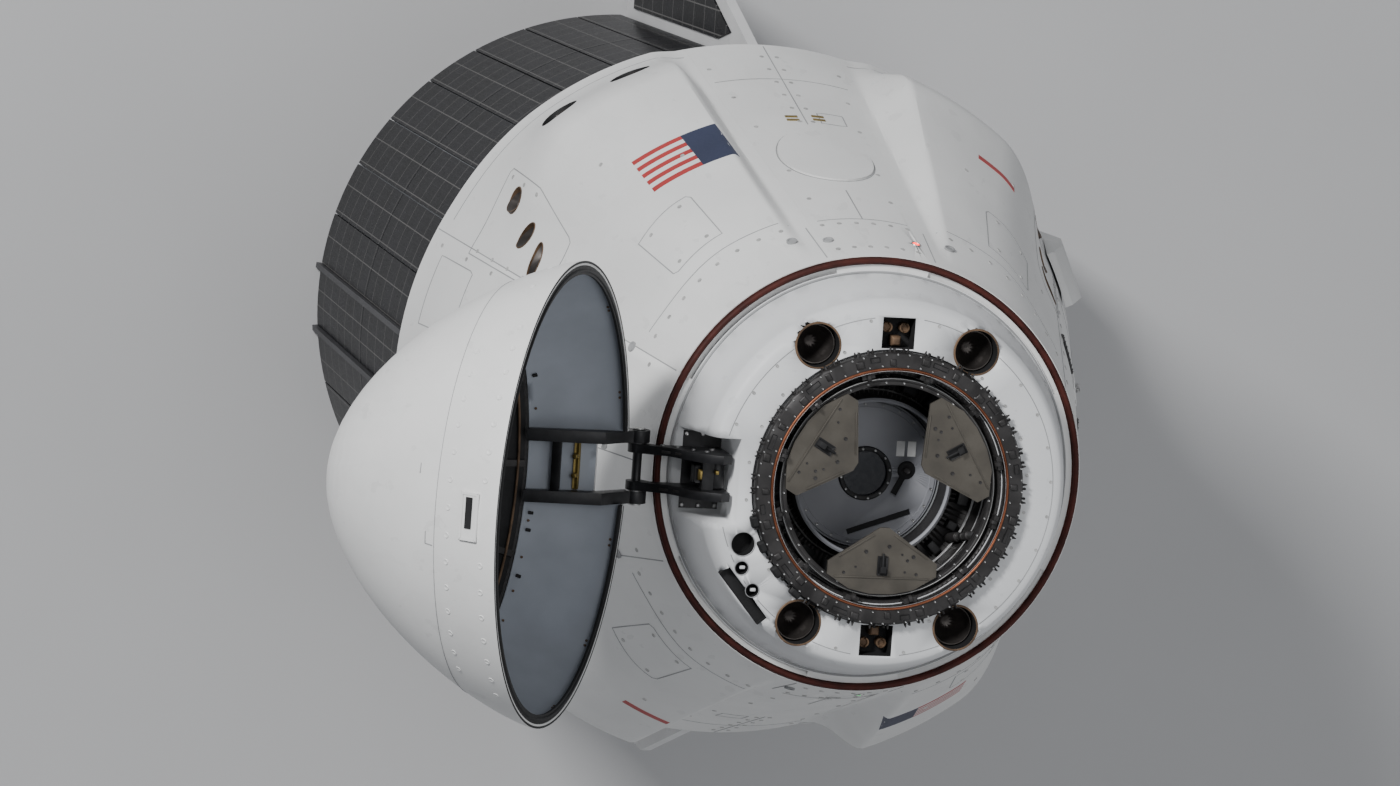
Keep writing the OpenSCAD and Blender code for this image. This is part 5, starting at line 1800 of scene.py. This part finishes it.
@dataclass
class HingeTrim:
    """Machined details of the nose cone's hinge."""

    cone: ConeShape
    pin_r: float = 0.024
    ears: tuple[float, float] = (0.074, 0.118)
    arms: tuple[float, float] = (0.126, 0.188)

    def build(self) -> None:
        """Builds the fixed and the moving details."""
        self.fixed()
        self.moving()

    def fixed(self) -> None:
        """Adds the bracket's actuator, pins, rails and plates."""
        h = self.cone.hinge
        caps = []
        for side in (-1, 1):
            cap = Piece.rod(self.pin_r + 0.010, 0.010, (h.x, side * (self.arms[1] + 0.006), h.z),
                            along=(0, side, 0), sides=32)
            cap.inset(ENDS, 0.009, -0.003)
            caps.append(cap.bevel(0.002))
        Piece.joined(caps).done("hinge_pin_caps", Body.CAPSULE, "bare_metal")
        motor = Piece.rod(0.040, 0.134, (-0.845, 0, 7.075), along=(0, 1, 0), sides=40)
        motor.inset(ENDS, 0.010, 0.004)
        gear = Piece.block((0.075, 0.10, 0.085), (-0.925, 0, 7.04)).bevel(0.010, 3)
        gear.inset(TOPS, 0.014, -0.006)
        Piece.joined([motor.bevel(0.003), gear]).done("hinge_drive", Body.CAPSULE, "hinge_black")
        clip = Piece.block((0.036, 0.056, 0.020), (-0.925, 0, 7.094))
        clip.inset(TOPS, 0.008, 0.010)
        post = Piece.block((0.016, 0.020, 0.05), (-0.855, 0.02, 7.125))
        Piece.joined([clip.bevel(0.002), post.bevel(0.003)]).done("hinge_drive_clip", Body.CAPSULE,
                                                                  "hinge_black", "brass")
        studs = []
        for side in (-1, 1):
            y = side * (self.ears[1] + 0.0005)
            for x, z, r in ((-0.86, 7.02, 0.016), (-0.905, 7.10, 0.013), (-1.03, 6.96, 0.016),
                            (-1.10, 6.93, 0.012),
                            (-0.965, 7.05, 0.010)):
                stud = Piece.rod(r, 0.010, (x, y, z), along=(0, side, 0), sides=20)
                stud.inset(ENDS, r * 0.35, -0.003)
                studs.append(stud)
        Piece.joined(studs).done("hinge_ear_studs", Body.CAPSULE, "bare_metal", "bolt_steel")
        strips = []
        for side in (-1, 1):
            y = side * 0.5 * sum(self.ears)
            for k in range(3):
                strip = Piece.block((0.050, 0.012, 0.010), (0, 0, 0)).bevel(0.002)
                strips.append(strip.moved(shift(-0.975 - 0.062 * k, y, 7.106 - 0.047 * k)
                                          @ spun("Y", -37)))
        Piece.joined(strips).done("hinge_ear_pads", Body.CAPSULE, "hinge_black", "adapter_dark")
        foot = Piece.block((0.20, 0.40, 0.006), (-0.892, 0, 6.910))
        foot.inset(TOPS, 0.020, -0.002)
        foot.done("hinge_bay_floor", Body.CAPSULE, "deck_white", "hinge_black")
        bolts = [shift(-0.892 + x * 0.085, y * 0.185, 6.913) for x in (-1, 0, 1) for y in (-1, 1)]
        bolt(0.011, 0.007).array(bolts).done("hinge_bay_bolts", Body.CAPSULE, "bare_metal", "bolt_steel")

    def moving(self) -> None:
        """Adds the arms' cross piece, spring, rails and studs, built closed and then opened."""
        opened = self.cone.opened()
        rim_z, h = self.cone.rim_z, self.cone.hinge
        cross = Piece.block((0.036, 0.250, 0.030), (-1.030, 0, rim_z + 0.235)).bevel(0.006, 3)
        cross.inset(FRONTS, 0.008, -0.005)
        studs = []
        for y in (-0.05, 0.05):
            stud = Piece.rod(0.014, 0.040, (-1.006, y, rim_z + 0.235), along=(1, 0, 0), sides=24)
            stud.inset(FRONTS, 0.004, 0.004)
            studs.append(stud.bevel(0.002))
        Piece.joined([cross] + studs).moved(opened).done("hinge_cross_piece", Body.NOSE, "hinge_black",
                                                         "brass")
        rails = []
        for side in (-1, 1):
            y = side * 0.5 * sum(self.arms)
            rail = Piece.block((0.010, 0.012, 0.26), (0, 0, 0)).bevel(0.002)
            rails.append(rail.moved(shift(-1.0, y, rim_z + 0.300) @ spun("Y", 14)))
        Piece.joined(rails).moved(opened).done("hinge_arm_rails", Body.NOSE, "hinge_black", "bolt_steel")
        details = []
        for side in (-1, 1):
            y = side * (self.arms[1] + 0.0005)
            hub = Piece.turned([(self.pin_r + 0.0012, -0.004), (self.pin_r + 0.0012, 0.004), (0.034, 0.006),
                                (0.046, 0.006), (0.050, -0.004)], sides=48)
            details.append(hub.moved(shift(h.x, side * (self.arms[0] - 0.001), h.z)
                                     @ spun("X", 90) @ Matrix.Diagonal((1, 1, side, 1))))
            for x, d, r in ((-1.105, 0.06, 0.014), (-1.07, 0.16, 0.018), (-1.03, 0.27, 0.014),
                            (-0.99, 0.37, 0.012)):
                stud = Piece.rod(r, 0.008, (x, y, rim_z + d), along=(0, side, 0), sides=20)
                details.append(stud.inset(ENDS, r * 0.35, -0.002))
        Piece.joined(details).moved(opened).done("hinge_arm_studs", Body.NOSE, "hinge_black", "bolt_steel")
        coil = self.spring(0.016, 0.0032, 0.20, 9).moved(shift(-1.01, 0, rim_z + 0.34) @ Matrix.Rotation(
            math.radians(90), 4, "X") @ shift(0, 0, -0.10))
        coil.moved(opened).done("hinge_spring", Body.NOSE, "hinge_black", "bolt_steel")

    @staticmethod
    def spring(radius: float, wire: float, length: float, turns: int) -> Piece:
        """A coil spring along Z."""
        steps = turns * 14

        def shape(s: float, t: float) -> Vector:
            """A point of the wire's skin."""
            a, b = math.tau * turns * s, math.tau * t
            r = radius + wire * math.cos(b)
            return Vector((r * math.cos(a), r * math.sin(a), length * s + wire * math.sin(b)))

        coil = Piece.sheet(steps, 8, shape)
        return coil.welded().closed()


@dataclass
class ScarfedNozzles:
    """Throats and lips in the side thrusters' oval ports."""

    hull: HullShape
    ports: tuple[Port, ...] = PORTS

    def build(self) -> None:
        """Builds the throats and lips of every port."""
        throats, lips = [], []
        for port in self.ports:
            _, _, long, wide, _ = port
            frame = self.hull.port_axis(*port)
            place = shift(0, (long - wide) * 0.9, -0.050) @ Matrix.Scale(wide / 0.052, 4)
            throat = Piece.turned([(0.0005, 0.001), (0.010, 0.001), (0.014, 0.006), (0.022, 0.009),
                                   (0.024, 0.004),
                                   (0.024, 0.0), (0.0005, 0.0)], sides=32)
            throats.append(throat.moved(frame @ place))
            lip = Piece.hoop(1.0, 0.03, sides=48, around=8)
            lip.moved(Matrix.Diagonal((wide - 0.004, long - 0.004, 0.06, 1)))
            lips.append(lip.moved(frame @ shift(0, 0, -0.008)))
        Piece.joined(throats).array(MIRRORS).done("port_throats", Body.CAPSULE, "nozzle_metal", "bolt_steel")
        Piece.joined(lips).array(MIRRORS).done("port_lips", Body.CAPSULE, "nozzle_metal", "scorched")


@dataclass
class CrewHatchTrim:
    """Window frames, a handle and a latch plate on and round the crew hatch."""

    hull: HullShape
    window_r: float = 0.130
    side_window_r: float = 0.092
    middle: float = 1.48

    def build(self) -> None:
        """Builds the hatch's pieces and the side windows' frames."""
        seat = self.hull.seat
        frame = self.ring(self.window_r).moved(seat(0, self.middle + 0.20))
        frame.done("hatch_window_frame", Body.DOOR, "wall_white", "adapter_dark")
        turn = math.degrees(0.27 / self.hull.wall(self.middle))
        plate = Piece.block((0.16, 0.26, 0.008), (0, 0, 0.001)).bevel(0.003)
        plate.inset(TOPS, 0.018, -0.004)
        plate.moved(seat(turn, self.middle - 0.12)).done("hatch_latch_plate", Body.DOOR, "wall_white")
        handle = Piece.block((0.026, 0.17, 0.022), (0, 0, 0.020)).bevel(0.008, 3)
        handle.faces(ENDS, lambda: bpy.ops.mesh.inset(thickness=0.003, depth=-0.002))
        feet = [Piece.block((0.030, 0.030, 0.018), (0, y, 0.008)).bevel(0.004) for y in (-0.065, 0.065)]
        grip = Piece.joined([handle] + feet).moved(seat(turn, self.middle - 0.12))
        grip.done("hatch_handle", Body.DOOR, "bare_metal", "bolt_steel")
        places = []
        for k in range(28):
            a = math.tau * k / 28
            across = 0.345 * max(-1.0, min(1.0, 1.25 * math.cos(a)))
            up = 0.425 * max(-1.0, min(1.0, 1.25 * math.sin(a)))
            places.append(seat(math.degrees(across / self.hull.wall(self.middle + up)), self.middle + up))
        bolt(0.010, 0.003).array(places).done("hatch_fasteners", Body.DOOR, "wall_white", "fastener_grey")
        frames = [self.ring(self.side_window_r).moved(seat(side * 19.6, self.middle + 0.25))
                  for side in (-1, 1)]
        Piece.joined(frames).done("side_window_frames", Body.CAPSULE, "wall_white", "adapter_dark")

    @staticmethod
    def ring(radius: float) -> Piece:
        """A window's frame, lying on its middle, with its bolts."""
        ring = Piece.turned([(radius - 0.004, -0.006), (radius - 0.004, 0.004), (radius + 0.004, 0.007),
                             (radius + 0.018, 0.006), (radius + 0.022, 0.001), (radius + 0.022, -0.006)],
                            sides=72)
        bolts = bolt(0.004, 0.003).array([Matrix.Rotation(math.tau * k / 18, 4, "Z")
                                          @ shift(radius + 0.011, 0, 0.0062)
                                          for k in range(18)])
        return Piece.joined([ring, bolts])


@dataclass
class TrunkTrim:
    """Stringers and hoops inside the trunk, ring bolts, and a fitting on its rim."""

    radius: float
    length: float
    wall: float = 0.04

    def build(self) -> None:
        """Builds the trunk's pieces."""
        inner = self.radius - self.wall
        stringer = Piece.block((0.036, 0.022, self.length - 0.22), (inner - 0.017, 0, self.length / 2))
        stringer.faces(ENDS, lambda: bpy.ops.mesh.inset(thickness=0.008, depth=-0.006))
        stringer.array(ring_places(48, 3.75)).done("trunk_stringers", Body.CAPSULE, "trunk_grey")
        hoops = []
        for k in range(1, 6):
            z = self.length * k / 6
            hoops.append(Piece.turned([(inner + 0.001, z - 0.014), (inner - 0.046, z - 0.014),
                                       (inner - 0.046, z - 0.008),
                                       (inner - 0.008, z - 0.004), (inner - 0.008, z + 0.004),
                                       (inner - 0.046, z + 0.008),
                                       (inner - 0.046, z + 0.014), (inner + 0.001, z + 0.014)], sides=192))
        Piece.joined(hoops).done("trunk_hoops", Body.CAPSULE, "trunk_grey")
        down = Matrix.Rotation(math.pi, 4, "X")
        places = [m @ shift(inner + 0.02, 0, -0.0005) @ down for m in ring_places(96, 1.9)]
        bolt(0.010, 0.005).array(places).done("trunk_ring_bolts", Body.CAPSULE, "ring_metal", "bolt_steel")
        parts = []
        for k in range(7):
            block = Piece.block((0.030, 0.060, 0.034), (self.radius - 0.022, 0, 0.085)).bevel(0.004)
            block.inset(FRONTS, 0.008, -0.006)
            parts.append(block.moved(spun("Z", 131 + 1.9 * k)))
        Piece.joined(parts).done("trunk_rim_fitting", Body.CAPSULE, "bare_metal", "bolt_steel")


@dataclass
class CabinTrim:
    """Cushions on the four seats."""

    floor_z: float
    pitch: float = 0.52
    width: float = 0.44
    voxel: float = 0.006
    cap: float = 0.012

    def build(self) -> None:
        """Builds the cushions."""
        for name, low, high, thick in (("seat_cushion", (-0.58, 0.348), (0.13, 0.424), 0.052),
                                       ("back_cushion", (0.185, 0.455), (0.405, 0.738), 0.048)):
            pad = self.cushion(low, high, thick)
            for k in range(4):
                piece = pad.copy(shift(0, (k - 1.5) * self.pitch, self.floor_z))
                obj = piece.done(f"{name}_{k + 1}", Body.CAPSULE, "seat_dark", "cushion", angle=60)
            bpy.data.objects.remove(pad.obj)

    def cushion(self, low: tuple[float, float], high: tuple[float, float], thick: float) -> Piece:
        """One filled cushion, lying from a low point to a high one of the seat's side view.

        Args:
            low: its foot, as x and z.
            high: its head, as x and z.
            thick: its thickness before it is filled.

        Returns:
            The cushion, its underside flat on the shell.
        """
        length = math.dist(low, high)
        pad = Piece.block((length - 0.02, self.width - 0.06, thick), (0, 0, thick / 2)).bevel(0.016, 3)
        pad.modify("REMESH", mode="VOXEL", voxel_size=self.voxel)
        self.fill(pad)
        mesh = pad.obj.data
        for v in mesh.vertices:
            if v.co.z > thick * 0.6:
                across = abs((v.co.x / length * 5) % 1 - 0.5)
                v.co.z -= 0.007 * math.exp(-(across / 0.07) ** 2)
            v.co.z = max(0.0, v.co.z)
        slope = math.atan2(high[1] - low[1], high[0] - low[0])
        middle = ((low[0] + high[0]) / 2, 0, (low[1] + high[1]) / 2)
        return pad.moved(Matrix.Translation(middle) @ Matrix.Rotation(-slope, 4, "Y"))

    def fill(self, pad: Piece) -> None:
        """Swells a pad with air under cloth, with a cap on how far a point may move.

        Args:
            pad: the pad, which keeps its place.
        """
        before = [v.co.copy() for v in pad.obj.data.vertices]
        cloth = pad.obj.modifiers.new("filling", "CLOTH")
        cloth.settings.use_pressure = True
        cloth.settings.uniform_pressure_force = 4.0
        cloth.settings.effector_weights.gravity = 0.0
        cloth.point_cache.frame_start, cloth.point_cache.frame_end = 1, 12
        for frame_no in range(1, 13):
            bpy.context.scene.frame_set(frame_no)
        pad.wake()
        bpy.ops.object.modifier_apply(modifier="filling")
        bpy.context.scene.frame_set(1)
        for v, old in zip(pad.obj.data.vertices, before):
            move = v.co - old
            if move.length > self.cap:
                v.co = old + move.normalized() * self.cap


# ---------------------------------------------------------------- scene


@dataclass
class Studio:
    """The floor, the soft light and the camera."""

    camera_at: tuple[float, float, float] = (-6.9775, 3.9404, 33.8963)
    forward: tuple[float, float, float] = (0.2172, -0.1272, -0.9678)
    up: tuple[float, float, float] = (-0.0407, 0.9894, -0.1392)
    lens: float = 140.64
    floor: float = 60.0

    def camera(self) -> None:
        """Sets up the camera."""
        back = -Vector(self.forward).normalized()
        right = Vector(self.up).cross(back).normalized()
        data = bpy.data.cameras.new("camera")
        data.lens, data.sensor_width = self.lens, 36.0
        data.clip_end = 200.0
        camera = bpy.data.objects.new("camera", data)
        camera.matrix_world = (Matrix.Translation(self.camera_at)
                               @ Matrix((right, back.cross(right), back)).transposed().to_4x4())
        bpy.context.scene.collection.objects.link(camera)
        bpy.context.scene.camera = camera

    def light(self, name: str, at: Sequence[float], target: Sequence[float], size: float,
              power: float) -> None:
        """Adds a soft area light.

        Args:
            name: its name.
            at: where it is.
            target: what it faces.
            size: its side length.
            power: its power in watts.
        """
        data = bpy.data.lights.new(name, "AREA")
        data.energy, data.size = power, size
        lamp = bpy.data.objects.new(name, data)
        lamp.location = at
        lamp.rotation_euler = (Vector(target) - Vector(at)).to_track_quat("-Z", "Y").to_euler()
        bpy.context.scene.collection.objects.link(lamp)

    def build(self) -> None:
        """Builds the whole studio."""
        self.camera()
        Piece.clear()
        bpy.ops.mesh.primitive_plane_add(size=self.floor, location=(0, 0, -0.002))
        ground = bpy.context.view_layer.objects.active
        ground.name = "floor"
        ground.data.materials.append(Palette.get("floor_grey"))
        self.light("key", (-13.0, 12.0, 21.0), (-0.3, 0, 6.5), 4.0, 5200)
        self.light("fill", (12.0, -10.0, 16.0), (0, 0, 5.0), 12.0, 600)
        self.light("top", (2.0, 3.0, 24.0), (0, 0, 6.5), 9.0, 500)
        world = bpy.data.worlds.new("studio")
        world.use_nodes = True
        world.node_tree.nodes["Background"].inputs["Color"].default_value = (0.80, 0.83, 0.88, 1)
        world.node_tree.nodes["Background"].inputs["Strength"].default_value = 0.28
        bpy.context.scene.world = world


def dress_cad(cad: dict[str, bpy.types.Object], record: dict) -> None:
    """Gives every CAD node the finish of its material slot.

    Args:
        cad: the CAD nodes by name.
        record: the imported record.
    """
    special = {"fin_solar_cells": "fin_cells"}
    for part in record["subparts"]:
        name, node = part["node"], cad[part["node"]]
        material = Palette.get(special.get(name, part["material_slot"]))
        for index in range(max(1, len(node.material_slots))):
            if not node.material_slots:
                node.data.materials.append(material)
            node.material_slots[index].material = material


def main() -> None:
    """Builds the scene in order."""
    logging.basicConfig(level=logging.INFO, format="%(message)s")
    cad = frame["nodes"]
    Studio().build()
    dress_cad(cad, frame["record"])
    wall_low, wall_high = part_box("hinge_side_panel")
    hull = HullShape(base_z=wall_low.z, base_r=-wall_low.x, wall_h=wall_high.z - wall_low.z)
    joint = {row["name"]: row for row in frame["joints"]}["nose_cone_hinge"]
    cone = ConeShape(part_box("seal_ring")[1].z + 0.008, Vector(joint["pos_m"]), joint["range_deg"][1])
    SmoothNodes().build(cad)
    PodFairings(hull).build()
    trim = WallTrim(hull)
    trim.seams()
    trim.fasteners()
    trim.patches()
    trim.fittings()
    ScarfedNozzles(hull).build()
    deck_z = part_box("forward_deck")[1].z
    DeckTrim(deck_z).build()
    DockingTrim(deck_z).build()
    TunnelHatchTrim(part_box("tunnel_hatch")[1].z).build()
    NoseTrim(cone).build()
    HingeTrim(cone).build()
    CrewHatchTrim(hull).build()
    TrunkTrim(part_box("solar_panels")[1].y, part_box("trunk_solar_half")[1].z).build()
    CabinTrim(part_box("cabin_floor")[1].z).build()


if __name__ == "__main__":
    main()
